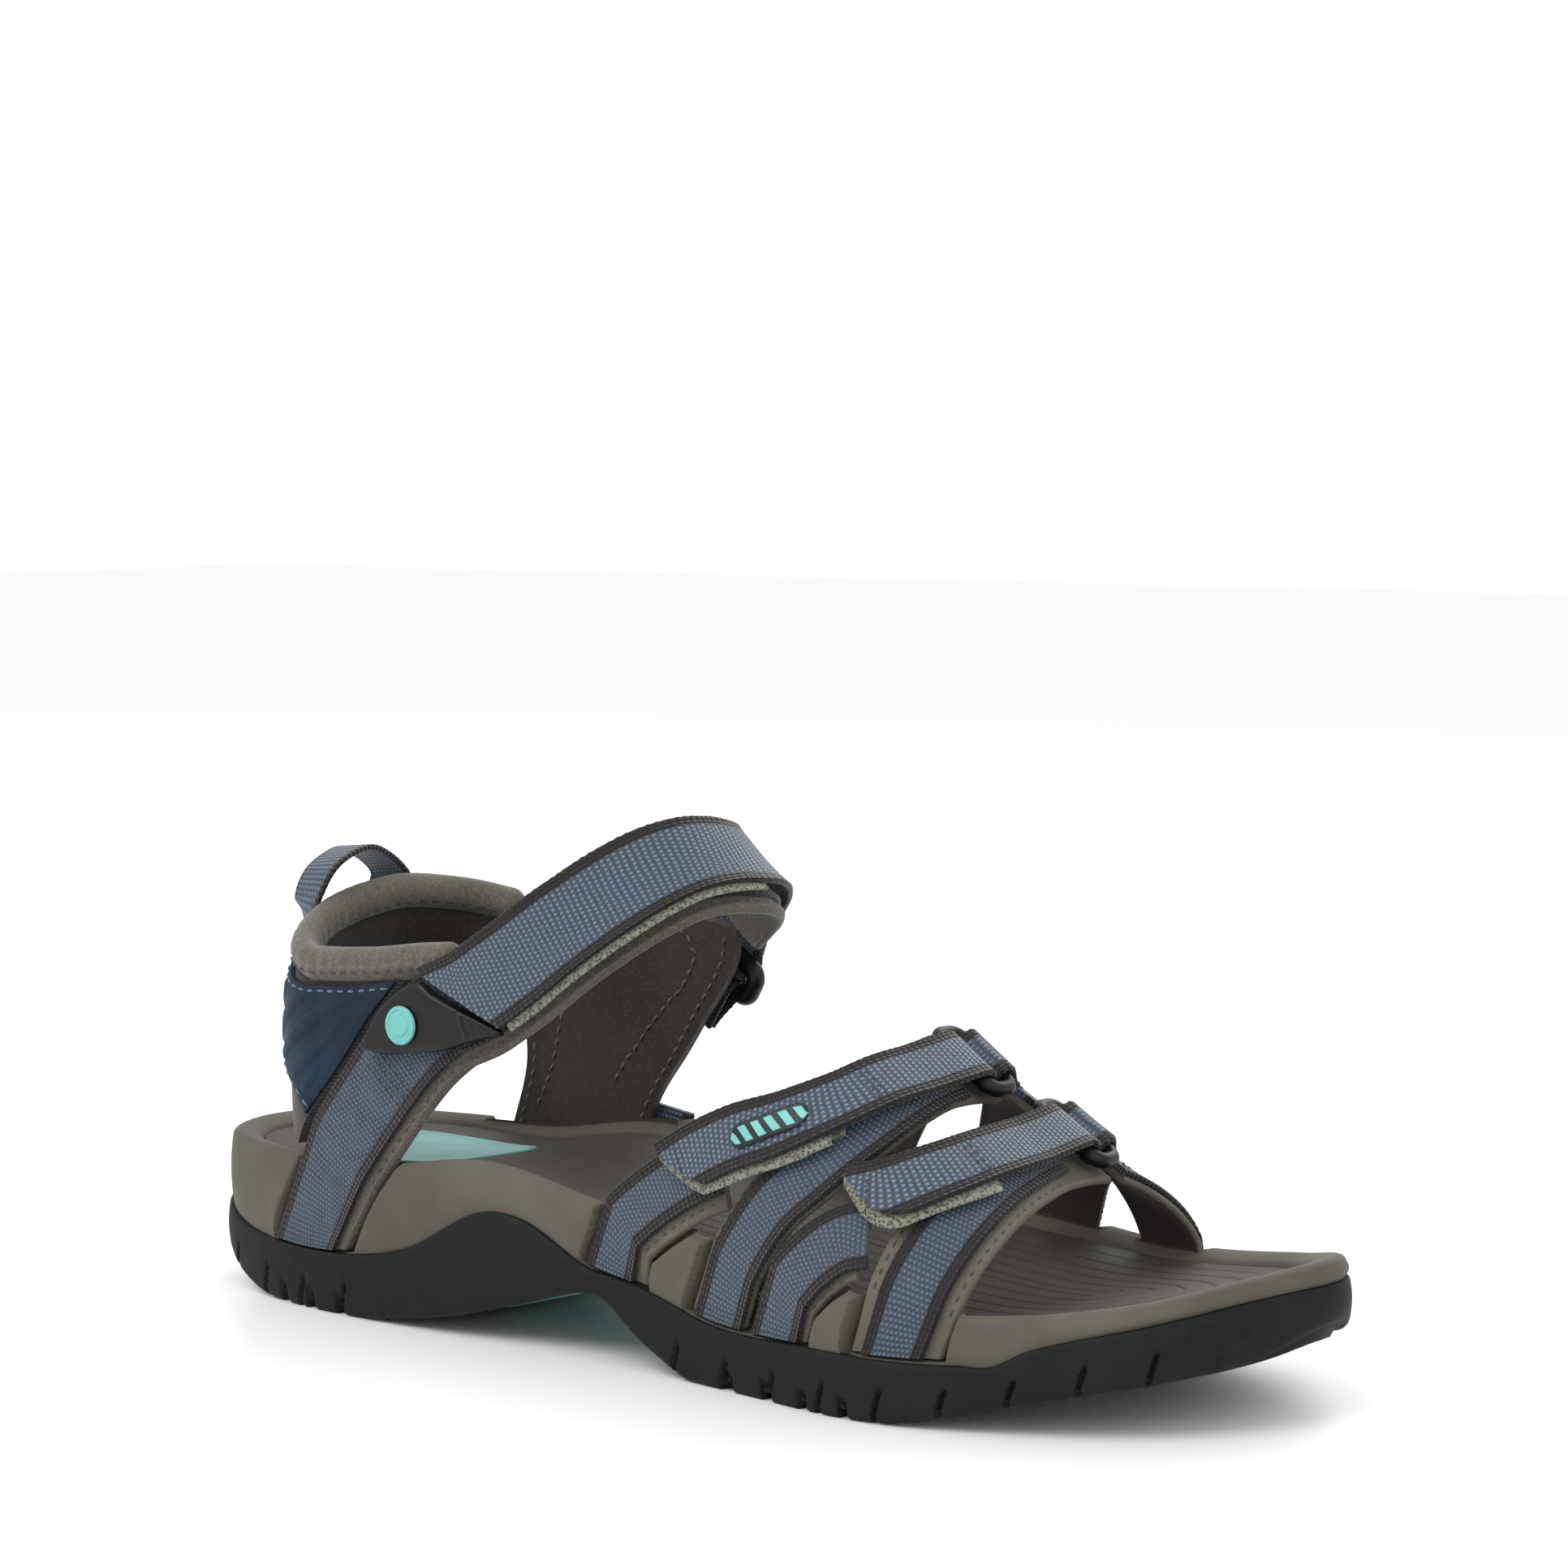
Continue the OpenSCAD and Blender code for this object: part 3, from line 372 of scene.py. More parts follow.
def turned(f, r, profile, v, a, knob=0.1, centre=None):
    """Cross-sections round a bar, at the angles a in degrees."""
    a = np.radians(a)
    d = np.cos(a)[:, None] * f[3] + np.sin(a)[:, None] * f[1]
    s, h = knobbed(profile, v, knob)
    o = f[0] if centre is None else centre
    along = np.stack([s, np.repeat(v[:, None], s.shape[1], 1), face_of(profile, h)], -1)
    return o + s[..., None] * f[2] + (r + h)[..., None] * d[:, None], along


RISE_FROM = 14


def flap_rows(route, profile, lo, bar_lift, r, step=0.7, knob=0.1, trim=0.0):
    c, v = evenly(path_points(route), step)
    f = end_frame(route, bar_lift)
    top = bar_lift + r
    g = np.minimum(np.linalg.norm(c - c[-1], axis=1) / RISE_FROM, 1)
    lift = lo + (top - lo) * (1 - g) ** 2 * (1 + 2 * g)
    rows, along = hug_rows(c[:-1], travel(c)[:-1], v[:-1], profile, lift[:-1], 0, knob, trim)
    angles = np.linspace(0, 150, 16)
    more, far = turned(f, r, profile, v[-1] + np.radians(angles) * r, angles, knob)
    return np.concatenate([rows, more]), np.concatenate([along, far])


def bar_pitch(r):
    return 2 * (r + BAR_GAP + WEB_T) + 0.5


def keeper_rows(f, profile, r, leg, web_lo, step=0.7, knob=0.1):
    """Webbing round the keeper's bar, with both legs running on over the foot."""
    g0 = f[0] + bar_pitch(r) * f[1]
    under = below(g0)
    n = outward(under)
    rise = float((g0 - under) @ n)
    turn = r + BAR_GAP
    count = int(leg / step)
    s = np.linspace(leg, leg / count, count)
    ease = (s / leg) ** 2 * (3 - 2 * s / leg)
    at = below(g0 + s[:, None] * f[1])
    t = np.repeat(f[1][None], count, 0)
    flip = profile.copy()
    flip[:, 1] = -flip[:, 1]
    lo = rise - turn - WEB_T
    low = lo + (web_lo + 0.15 - lo) * ease + WEB_T
    v = leg - s
    first, a1 = hug_rows(at, t, v, flip, low, 0, knob)
    angles = np.linspace(-180, 0, 22)
    middle, a2 = turned(f, turn, profile, leg + np.radians(angles + 180) * turn, angles, knob, g0)
    hi = rise + turn
    high = hi + (web_lo + WEB_T + 0.4 - hi) * ease
    last, a3 = hug_rows(at[::-1], t, v[-1] + PI * turn + (s[::-1]), profile, high[::-1], 0, knob)
    return np.concatenate([first, middle, last]), np.concatenate([a1, a2, a3])


# ---------- layers, measured outwards from the foot ----------
WEB_T = 1.2
VAMP_W = 12.5
ANKLE_W = 19.0
EDGE_IN = 3.0
SKIN_GAP = 0.3
BAR_GAP = 0.35
TAPE_T = 0.8
VAMP_LINING_T, ANKLE_LINING_T = 1.5, 2.3
VAMP_RING_R, ANKLE_RING_R = 1.6, 1.9
VAMP_WEB, VAMP_TAPE, VAMP_HOOK, VAMP_FLAP = 1.95, 3.3, 4.5, 5.45
ANKLE_WEB, ANKLE_TAPE_LO, ANKLE_HOOK, ANKLE_FLAP_LO = 2.75, 4.1, 5.3, 6.25
VAMP_BAR, ANKLE_BAR = 5.3, 6.4

# ---------- routes, as [x, a] on the foot ----------
VAMP_REAR = [[-5.8, 1], [-2, 6.5], [7, 13.5], [15, 19.8], [21, 24.2]]
INSTEP = [[23.4, 1], [27.5, 8], [35, 21], [43.5, 36], [48.5, 52], [50.3, 70], [50.3, 84.5]]
INSTEP_FLAP = [[11.5, 18], [17, 23], [25, 30], [35.5, 40], [43.5, 54], [47.8, 71], [49.6, 84], [50, 91.5]]
VAMP_FRONT = [[38.6, 1], [42.5, 9.5], [48, 17], [54, 24.5]]
TOE = [[66.7, 1], [69, 14], [71, 34], [71.8, 54], [71.3, 76], [70.3, 90.5]]
TOE_FLAP = [[53.5, 33], [60, 42], [65.5, 57], [68.5, 74], [69.5, 90], [69.3, 98.5]]
ANKLE = [
    [-90.6, 0.4], [-79, 3.6], [-69, 6.5], [-59, 9.8], [-50, 13], [-40, 17.5],
    [-30, 26.5], [-21, 40], [-14, 55], [-9, 71], [-6, 88], [-5.5, 100], [-8, 112], [-13, 125], [-19.2, 138],
]
ANKLE_FLAP = [
    [-50, 13], [-40, 17.5], [-30, 26.5], [-21, 40], [-14, 55], [-9, 71], [-6, 88], [-5.5, 100],
    [-8, 112], [-13, 125.5], [-19.7, 139.5], [-26.5, 152],
]
ANKLE_TAPE = [[-38, 18.8], [-30, 26.5], [-21, 40], [-14, 55], [-9, 71], [-6, 88], [-5.5, 98]]
INSTEP_TAPE = [[26, 30], [36, 40], [44, 53]]
TOE_TAPE = [[60, 42], [66, 57], [69, 69]]
INSTEP_HOOK = [[11, 17.5], [17, 23], [25, 29.5], [36, 40], [42, 49.5]]
TOE_HOOK = [[53, 32.5], [60, 42], [66, 57], [68.5, 67]]
BADGE = [[26.5, 30.5], [33, 36.8], [40, 45.4]]
PULL_TAB = [[-64, 9.6], [-60, 10.6], [-56.9, 11.3]]
TAB_LOW = [[-68, 9.1], [-62.5, 9.1], [-55, 9.7], [-46.9, 10.9], [-39.1, 13.4], [-32.6, 16.3]]
TAB_HIGH = [[-67.8, 9.7], [-63.5, 11.8], [-54.3, 14.4], [-49.2, 14.5], [-42, 15.2], [-32.5, 16.8]]
INNER_1 = [[7, 179], [12, 167], [20, 151], [29, 138], [35, 131.5]]
INNER_2 = [[36, 179], [38.5, 167], [42, 150], [46, 135], [50.3, 121], [52.3, 111.5]]
INNER_3 = [[50.6, 179], [53, 168], [56.8, 153], [60, 143], [62.4, 137]]
INNER_4 = [[77.5, 178], [77, 165], [75.5, 150], [73.3, 134], [71.4, 119]]
INNER_REAR = [[-73, 179.7], [-67.5, 177.8], [-58, 175], [-49, 171.7], [-41.5, 168.8]]
INNER_FRONT = [[-41.4, 179.2], [-40.9, 177.4], [-40.2, 175.6]]
INSTEP_FRAME = end_frame(INSTEP_FLAP, VAMP_BAR)
TOE_FRAME = end_frame(TOE_FLAP, VAMP_BAR)
ANKLE_FRAME = end_frame(ANKLE_FLAP, ANKLE_BAR)


# ---------- materials ----------
def linear(code):
    v = [int(code[i : i + 2], 16) / 255 for i in (0, 2, 4)]
    return (*[c / 12.92 if c <= 0.04045 else ((c + 0.055) / 1.055) ** 2.4 for c in v], 1)


class Mat:
    """A node material, built step by step.

    Lengths in its textures are metres on the piece, or a strap's own millimetres in its "along" attribute.
    """

    def __init__(self, name, rough=0.6, sheen=0.0, spec=0.5):
        self.m = bpy.data.materials.new(name)
        self.m.use_nodes = True
        self.t = self.m.node_tree
        self.t.nodes.clear()
        self.out = self.new("ShaderNodeOutputMaterial")
        self.s = self.new("ShaderNodeBsdfPrincipled")
        self.link(self.s.outputs[0], self.out.inputs[0])
        self.s.inputs["Roughness"].default_value = rough
        self.s.inputs["Specular IOR Level"].default_value = spec
        self.s.inputs["Sheen Weight"].default_value = sheen
        self.s.inputs["Sheen Roughness"].default_value = 0.4
        self.normal = None

    def new(self, kind, **values):
        n = self.t.nodes.new(kind)
        for k, v in values.items():
            setattr(n, k, v)
        return n

    def link(self, a, b):
        self.t.links.new(a, b)

    def put(self, socket, v):
        if isinstance(v, bpy.types.NodeSocket):
            self.link(v, socket)
        else:
            socket.default_value = v

    def math(self, op, a, b=0.0, c=0.0):
        n = self.new("ShaderNodeMath", operation=op)
        for i, v in enumerate((a, b, c)):
            if i < len(n.inputs):
                self.put(n.inputs[i], v)
        return n.outputs[0]

    def along(self):
        a = self.new("ShaderNodeAttribute", attribute_name="along")
        x = self.new("ShaderNodeSeparateXYZ")
        self.link(a.outputs["Vector"], x.inputs[0])
        return a.outputs["Vector"], x.outputs[0], x.outputs[1], x.outputs[2]

    def place(self):
        return self.new("ShaderNodeTexCoord").outputs["Object"]

    def noise(self, scale, detail=3.0, where=None, rough=0.55):
        n = self.new("ShaderNodeTexNoise")
        self.link(where or self.place(), n.inputs["Vector"])
        n.inputs["Scale"].default_value = scale
        n.inputs["Detail"].default_value = detail
        n.inputs["Roughness"].default_value = rough
        return n.outputs[0]

    def voronoi(self, scale):
        n = self.new("ShaderNodeTexVoronoi")
        self.link(self.place(), n.inputs["Vector"])
        n.inputs["Scale"].default_value = scale
        return n.outputs["Distance"]

    def wave(self, v, pitch, phase=0.0):
        """0 to 1 and back over each pitch of v."""
        a = self.math("MULTIPLY_ADD", v, 2 * PI / pitch, phase)
        return self.math("MULTIPLY_ADD", self.math("SINE", a), 0.5, 0.5)

    def step(self, v, a, b):
        n = self.new("ShaderNodeMapRange", interpolation_type="SMOOTHSTEP")
        self.put(n.inputs[0], v)
        n.inputs[1].default_value, n.inputs[2].default_value = a, b
        return n.outputs[0]

    def mix(self, f, a, b):
        n = self.new("ShaderNodeMix", data_type="RGBA")
        self.put(n.inputs[0], f)
        for i, v in ((6, a), (7, b)):
            self.put(n.inputs[i], linear(v) if isinstance(v, str) else v)
        return n.outputs[2]

    def bump(self, height, strength=0.5, distance=0.0002):
        n = self.new("ShaderNodeBump")
        n.inputs["Strength"].default_value = strength
        n.inputs["Distance"].default_value = distance
        self.put(n.inputs["Height"], height)
        if self.normal:
            self.link(self.normal, n.inputs["Normal"])
        self.normal = n.outputs[0]

    def done(self, colour, rough=None):
        self.put(self.s.inputs["Base Color"], linear(colour) if isinstance(colour, str) else colour)
        if rough is not None:
            self.put(self.s.inputs["Roughness"], rough)
        if self.normal:
            self.link(self.normal, self.s.inputs["Normal"])
        return self.m


def webbing(name, width, rib=1.25, grain=1.15, base="333f4c", light="5d6b7b", band=2.3):
    """Blue plain-weave webbing with dark ribbed edges: picks lie across it and show as rows of pale dots."""
    m = Mat(name, rough=0.62, sheen=0.25, spec=0.35)
    where, s, v, _ = m.along()
    wobble = m.math("MULTIPLY_ADD", m.noise(0.35, 2, where), 0.5, -0.25)
    v2 = m.math("ADD", v, wobble)
    # ribs across the strap and the warp along it, every other rib shifted by half a thread
    ribs = m.wave(v2, rib)
    half = m.math("MULTIPLY", m.math("FLOOR", m.math("DIVIDE", m.math("ADD", v2, rib / 4), rib)), PI)
    turned = m.math("ADD", m.math("MULTIPLY", s, 2 * PI / grain), half)
    threads = m.math("MULTIPLY_ADD", m.math("SINE", turned), 0.5, 0.5)
    dots = m.math("MULTIPLY", ribs, threads)
    core = m.step(m.math("ABSOLUTE", s), width / 2 - band - 0.25, width / 2 - band + 0.15)
    patch = m.noise(0.12, 3, where)
    soft = m.mix(m.step(patch, 0.35, 0.7), base, "3a4652")
    blue = m.mix(m.step(dots, 0.25, 0.8), soft, light)
    # painted shade: the valleys between the ribs are darkened towards 1d2935
    blue = m.mix(m.math("MULTIPLY", m.step(ribs, 0.35, 0.0), 0.55), blue, "1d2935")
    # the edge: four dark warps with knobs where the weft turns
    knob = m.math("MULTIPLY", m.wave(v, KNOB_PITCH), m.wave(s, 0.85))
    dark = m.mix(knob, "070505", "241c1b")
    height = m.math("ADD", m.math("MULTIPLY", dots, 0.6), m.math("MULTIPLY", ribs, 0.5))
    edge_height = m.math("MULTIPLY", knob, 1.2)
    n = m.new("ShaderNodeMix", data_type="FLOAT")
    m.put(n.inputs[0], core), m.put(n.inputs[2], height), m.put(n.inputs[3], edge_height)
    m.bump(n.outputs[0], 0.75, 0.00035)
    m.bump(m.noise(2600, 2), 0.25, 0.00008)
    return m.done(m.mix(core, blue, dark))


def fabric(name, low, high, pitch=0.55, patchy=26, fluff="8a8379"):
    """A fine knit that wraps a pad."""
    m = Mat(name, rough=0.85, sheen=0.3, spec=0.25)
    _, s, v, _ = m.along()
    slants = [m.wave(m.math(op, v, s), pitch * 1.4) for op in ("ADD", "SUBTRACT")]
    knit = m.math("MULTIPLY", *slants)
    tint = m.step(m.noise(patchy, 4), 0.3, 0.72)
    fuzz = m.noise(1800, 3)
    colour = m.mix(tint, low, high)
    colour = m.mix(m.math("MULTIPLY", m.step(fuzz, 0.4, 0.75), 0.35), colour, fluff)
    m.bump(m.math("ADD", knit, fuzz), 0.5, 0.00018)
    return m.done(colour)


def leather(name, low, high, rough, cells, strength, sheen, spec, depth=0.00012, inner=None):
    """Smooth coated material with a fine grain, a little worn where it is lighter."""
    m = Mat(name, rough=rough, sheen=sheen, spec=spec)
    grain = m.voronoi(cells)
    cloud = m.noise(45, 5)
    colour = m.mix(m.step(cloud, 0.3, 0.7), low, high)
    if inner:
        _, s, v, face = m.along()
        twill = m.wave(m.math("ADD", s, v), 0.9)
        colour = m.mix(m.step(face, -0.86, -0.95), colour, m.mix(twill, inner, "4a4240"))
    m.bump(m.math("ADD", grain, m.math("MULTIPLY", m.noise(cells * 2.4, 2), 0.5)), strength, depth)
    return m.done(colour, m.math("MULTIPLY_ADD", m.noise(120, 3), 0.18, rough - 0.09))


def hooks(name, low, high, cells=1500, strength=0.9):
    """The hook or loop side of a touch-and-close tape."""
    m = Mat(name, rough=0.9, sheen=0.5, spec=0.2)
    tufts = m.voronoi(cells)
    fuzz = m.noise(2300, 4, rough=0.7)
    colour = m.mix(m.step(m.math("MULTIPLY", tufts, fuzz), 0.08, 0.34), low, high)
    m.bump(m.math("ADD", tufts, fuzz), strength, 0.0005)
    return m.done(colour)


def thread(name, colour, light):
    m = Mat(name, rough=0.6, sheen=0.3, spec=0.4)
    w = m.wave(m.math("ADD", m.along()[2], m.along()[1]), 0.35)
    m.bump(w, 0.5, 0.0001)
    return m.done(m.mix(w, colour, light))


def patch_mat():
    """A moulded patch: a dark rim round a pale teal field with slanting ribs."""
    m = Mat("moulded_patch", rough=0.45, spec=0.35)
    _, s, v, _ = m.along()
    ribs = m.step(m.wave(m.math("ADD", v, m.math("MULTIPLY", s, 0.6)), 2.6), 0.3, 0.45)
    field = m.step(m.math("ABSOLUTE", s), 1.75, 1.55)
    both = m.math("MULTIPLY", ribs, field)
    m.bump(both, 0.8, 0.0003)
    dark, teal = m.mix(m.noise(600, 3), "0d1214", "161d20"), m.mix(m.noise(300, 3), "5fa9a2", "78c0ba")
    return m.done(m.mix(both, dark, teal))


M = {
    "patch": patch_mat(),
    # The roots' webbing has darker colours than the flaps' webbing as painted shade; the flaps' lighter
    # colours are painted light
    "web": webbing("webbing_fine_painted_shade", VAMP_W, rib=1.0, grain=0.95, base="333f4c", light="5a6878"),
    "flap": webbing("webbing_ribbed_painted_light", VAMP_W, rib=1.1, grain=1.0, base="3d4856", light="717f90"),
    # One ankle webbing in two copies: the root's colours are darker for painted shade, the flap's lighter for
    # painted light
    "ankle": webbing("webbing_ankle_painted_shade", ANKLE_W, rib=1.1, grain=1.0, base="24313e", light="46586a"),
    "ankle_flap": webbing("webbing_ankle_flap_painted_light", ANKLE_W, rib=1.1, grain=1.0, base="3a4654", light="6a7888"),
    "narrow": webbing("webbing_inner", ANKLE_W - 1, rib=1.25, grain=1.1, base="2b3744"),
    "slim": webbing("webbing_slim", ANKLE_W - 6, rib=1.2, grain=1.05, base="2b3744"),
    "vamp_keeper": webbing("webbing_vamp_keeper", VAMP_W - 0.5, rib=1.2, grain=1.0),
    "loop": webbing("webbing_loop", 10, rib=1.2, grain=1.0, base="303f4e", band=0.9),
    "lining": leather("lining_edge", "524e45", "645f55", 0.72, 1300, 0.35, 0.15, 0.3, inner="2b2523"),
    "padded": fabric("padded_lining", "45413a", "56524a"),
    "roll": fabric("collar_roll", "4c4840", "5e5a51", pitch=0.6, patchy=40),
    "dark": fabric("dark_lining", "26211e", "37312d", pitch=0.6, patchy=30, fluff="554a44"),
    "counter": leather("counter", "0a1a28", "11293b", 0.6, 1400, 0.3, 0.0, 0.22),
    "hook": hooks("hook_tape", "3d3f30", "8d9080"),
    "pile": hooks("loop_tape", "50523f", "7d7f6a", 1100, 0.7),
    "plastic": leather("moulded_black", "050505", "0b0b0b", 0.42, 1700, 0.12, 0.0, 0.3, 0.00006),
    "teal": leather("moulded_teal", "5fa9a2", "72bdb6", 0.42, 1200, 0.15, 0.0, 0.5),
    "rubber": leather("outsole_rubber", "0b0d0d", "131616", 0.68, 1000, 0.3, 0.0, 0.22),
    "foam": leather("midsole_foam", "4f4b43", "5b574e", 0.72, 1500, 0.3, 0.05, 0.25),
    "bed": leather("footbed_foam", "38342e", "443f38", 0.68, 1300, 0.35, 0.05, 0.25),
    "board": hooks("fibre_board", "3b332b", "5a5046", 700, 0.5),
    "stitch_dark": thread("thread_dark", "2a2224", "4b4142"),
    "stitch_brown": thread("thread_brown", "50463f", "756a62"),
    "stitch_blue": thread("thread_blue", "3c5064", "62788d"),
}


# ---------- sole pieces ----------
ROOT = "sole_and_straps"
RIM_N = 76
LOOP = outline(RIM_N)
# How far the footbed's edge and a slot's floor stand back from the outline
BACK_STEP, SLOT_BACK = 7.5, 5.6
# The cup: how thick its wall and its floor are, and how far the top of its lip is above its side
CUP_T, LIP = 3.2, 0.7
# A strap's slot ends below this height. The inner side's lining panel goes down between these two places
SLOT_TOP, QUARTER_SPAN = 46, (-91.5, -33.5)
LEG_ROUTES = [
    (VAMP_REAR, VAMP_W + EDGE_IN, -1.5), (INSTEP, VAMP_W + 1.5, 0.75), (VAMP_FRONT, VAMP_W + 1.5, -0.75),
    (TOE, VAMP_W + 6, 0), (ANKLE, ANKLE_W + EDGE_IN, -1.5),
    (INNER_1, VAMP_W + 1, 0), (INNER_2, VAMP_W + 1, 0), (INNER_3, VAMP_W + 1, 0), (INNER_4, VAMP_W + 1.5, 0),
]


def inward(p):
    e = unit(np.roll(p, -1, 0) - np.roll(p, 1, 0))
    return np.stack([-e[:, 1], e[:, 0]], -1)


IN = inward(LOOP)
ARC = np.r_[0, np.cumsum(np.linalg.norm(np.diff(LOOP, axis=0), axis=1))]


def spine(back, front):
    """The sole's middle line, from back to front, with a point for each point of the outline."""
    x = LOOP[:, 0]
    y = np.interp(x, [-131, -50, 10, 75, 131], [0, -3.5, -3, 0, 6])
    return np.stack([np.clip(x, back, front), y], -1)


BED_SPINE, TREAD_SPINE = spine(-92, 84), spine(-117, 112)


def rim_z(x, y):
    w = smoothstep(-12, 12, y)
    return read(RIM_OUTER, x) * (1 - w) + read(RIM_INNER, x) * w


def slot_mask(p):
    """1 where a strap runs down through the midsole's wall at the points p, and 0 elsewhere."""
    mask = np.zeros(p.shape[:-1])
    for route, width, shift in LEG_ROUTES:
        side = -1 if route[0][1] < 90 else 1
        profile = np.array([[-width / 2, 0, 0], [0, 0, 0], [width / 2, 0, 0]])
        rows, _ = leg_rows(route, profile, SKIN_GAP, shift, 1.5, 0)
        keep = rows[:, 1, 2] < SLOT_TOP
        a, b = rows[keep, 0], rows[keep, 2]
        line = (a + b)[:, (0, 2)] / 2
        half = np.linalg.norm((a - b)[:, (0, 2)], axis=1) / 2
        q = p[..., (0, 2)]
        d = np.linalg.norm(q[..., None, :] - line, axis=-1) - half
        low = line[0]
        under = (q[..., 1] < low[1] + 1) * 1.0
        d = np.minimum(d.min(-1), np.where(under > 0, np.abs(q[..., 0] - low[0]) - half[0], 1e3))
        mask = np.maximum(mask, smoothstep(1.7, 0.2, d) * (np.sign(p[..., 1]) == side))
    x0, x1 = QUARTER_SPAN
    q = smoothstep(x0 - 0.5, x0 + 0.6, p[..., 0]) * smoothstep(x1 + 0.5, x1 - 0.6, p[..., 0])
    return np.maximum(mask, q * (p[..., 1] > 0))


def ring_at(back, z):
    """The outline moved in by back, at the heights z."""
    back = np.broadcast_to(np.asarray(back, float), (len(LOOP),))
    return np.c_[LOOP + back[:, None] * IN, np.broadcast_to(z, (len(LOOP),))]


def ring_solid(name, rings, mat, node, sharp):
    """A solid whose skin runs through the rings and from the last one back to the first."""
    rows = np.stack(rings)
    n, k = rows.shape[:2]
    j = np.arange(k)
    far, after = (n - 1) * k + j, (j + 1) % k
    last = np.stack([far, j, after, (n - 1) * k + after], -1).tolist()
    faces = tube_faces(n, k, caps=False) + last
    add_mesh(name, rows.reshape(-1, 3), faces, mat, ROOT, [node], sharp=sharp)


def fan(back, share, z_of, middle=BED_SPINE):
    """A ring between the outline moved in by back and the sole's middle line."""
    p = LOOP + back * IN
    q = p + (middle - p) * share
    return np.c_[q, z_of(q)]


HEEL_GROOVES = [-98, -89, -80]
FORE_GROOVES = [26, 36, 46, 56]
GROOVE_W, GROOVE_D = 2.0, 2.2


def grooves(x, soft=0.35):
    g = np.zeros_like(x)
    for x0 in HEEL_GROOVES + FORE_GROOVES:
        x1 = x0 + GROOVE_W
        g = np.maximum(g, smoothstep(x0 - soft, x0 + soft, x) * smoothstep(x1 + soft, x1 - soft, x))
    return g


def notches(arc, x, u):
    """Narrow cuts in the lower half of the outsole's side, leaning, at the heel and the forefoot."""
    a = ((arc + 3.0 * u) / 13.0) % 1
    zone = np.maximum(smoothstep(-64, -70, x), smoothstep(8, 14, x) * smoothstep(122, 116, x))
    return smoothstep(0.455, 0.49, a) * smoothstep(0.56, 0.525, a) * zone


TOE_RELIEF = (119, 8.5, 0.42, 0.3)


def toe_relief(u):
    """A raised oval line on the outsole's outer side near the toe, at the share u of the side's height."""
    x, half_long, middle, half_high = TOE_RELIEF
    start = ARC[np.argmin(np.abs(LOOP[:, 0] - x) + 1e3 * (LOOP[:, 1] > 0))]
    away = np.hypot((ARC - start) / half_long, (u - middle) / half_high)
    return smoothstep(0.22, 0.06, np.abs(away - 1))


def outsole():
    x = LOOP[:, 0]

    def bottom(q):
        return read(BOTTOM, q[:, 0]) + GROOVE_D * grooves(q[:, 0])

    def inside(q):
        return read(BOTTOM, q[:, 0]) + CUP_T

    edge = read(EDGE, x) + 0.25 * np.sin(2 * PI * ARC / 46)
    low = read(BOTTOM, x)
    # the lip round the midsole, as how far in and how far below the edge
    lip = ((CUP_T, 2.2), (2.4, 0.1), (1.0, 0), (0.35, 0.15), (0, LIP))
    rings = [ring_at(back, edge - down) for back, down in lip]
    rows = 16
    for i in range(1, rows):
        u = i / rows
        z = edge - LIP + (low + 1.5 - edge + LIP) * u
        lean = 0.35 * np.sin(PI * u)
        cut = notches(ARC, x, u) * smoothstep(0.38, 0.62, u)
        groove = grooves(x) * smoothstep(0.62, 0.8, u)
        rings.append(ring_at(-lean + 1.25 * cut + 1.0 * groove - 0.45 * toe_relief(u), z))
    for back, up in ((0.25, 1.0), (0.8, 0.45), (1.6, 0.12), (2.6, 0.0)):
        cut = notches(ARC, x, 1.0)
        rings.append(ring_at(back + 0.6 * cut, low + up + 0.9 * cut + GROOVE_D * grooves(x)))
    for share in (0.06, 0.14, 0.3, 0.5, 0.75, 1.0):
        rings.append(fan(2.6, share, bottom, TREAD_SPINE))
    for share in (1.0, 0.0):
        rings.append(fan(CUP_T, share, inside, TREAD_SPINE))
    ring_solid("outsole_tread", rings, M["rubber"], "outsole", 38)


def footbed_z(q):
    return read(RIM_OUTER, q[:, 0]) - 2.2


def midsole():
    x, y = LOOP.T
    edge, rim = read(EDGE, x), rim_z(x, y)
    rows = 36
    rings = [ring_at(back, edge - down) for back, down in ((3.0, 2.0), (1.2, 0.6), (0.9, 0.05))]
    walls = []
    for i in range(rows + 1):
        u = i / rows
        z = edge + 0.1 + (rim - 1.2 - edge - 0.1) * u
        bulge = 0.55 * np.sin(PI * u) ** 0.8
        walls.append((0.85 - bulge, z))
    for deg in (15, 35, 55, 75, 90):
        a = math.radians(deg)
        walls.append((0.85 + 1.7 * (1 - math.cos(a)), rim - 1.2 + 1.2 * math.sin(a)))
    bed = footbed_z(LOOP)
    for u in (0.25, 0.5, 0.75, 0.92):
        walls.append((2.55 + (BACK_STEP - 2.9) * u, rim + (bed + 0.5 - rim) * u**1.7))
    for back, z in walls:
        deep = np.maximum(back, back + (SLOT_BACK - back) * slot_mask(ring_at(back, z)))
        rings.append(ring_at(deep, z))
    rings += [ring_at(BACK_STEP + more, bed + up) for more, up in ((-0.35, 0.35), (0.1, -0.4), (0.2, -5.4))]
    rings += [fan(BACK_STEP + 0.2, s, lambda q: footbed_z(q) - 5.6) for s in (0.5, 1.0)]
    rings += [fan(3.4, s, lambda q: read(BOTTOM, q[:, 0]) + 4.2) for s in (1.0, 0.5, 0.0)]
    ring_solid("midsole_wall", rings, M["foam"], "midsole", 50)


# The footbed's thickness, and how far apart its grooves are
BED_T, BED_PITCH = 4.9, 4.4


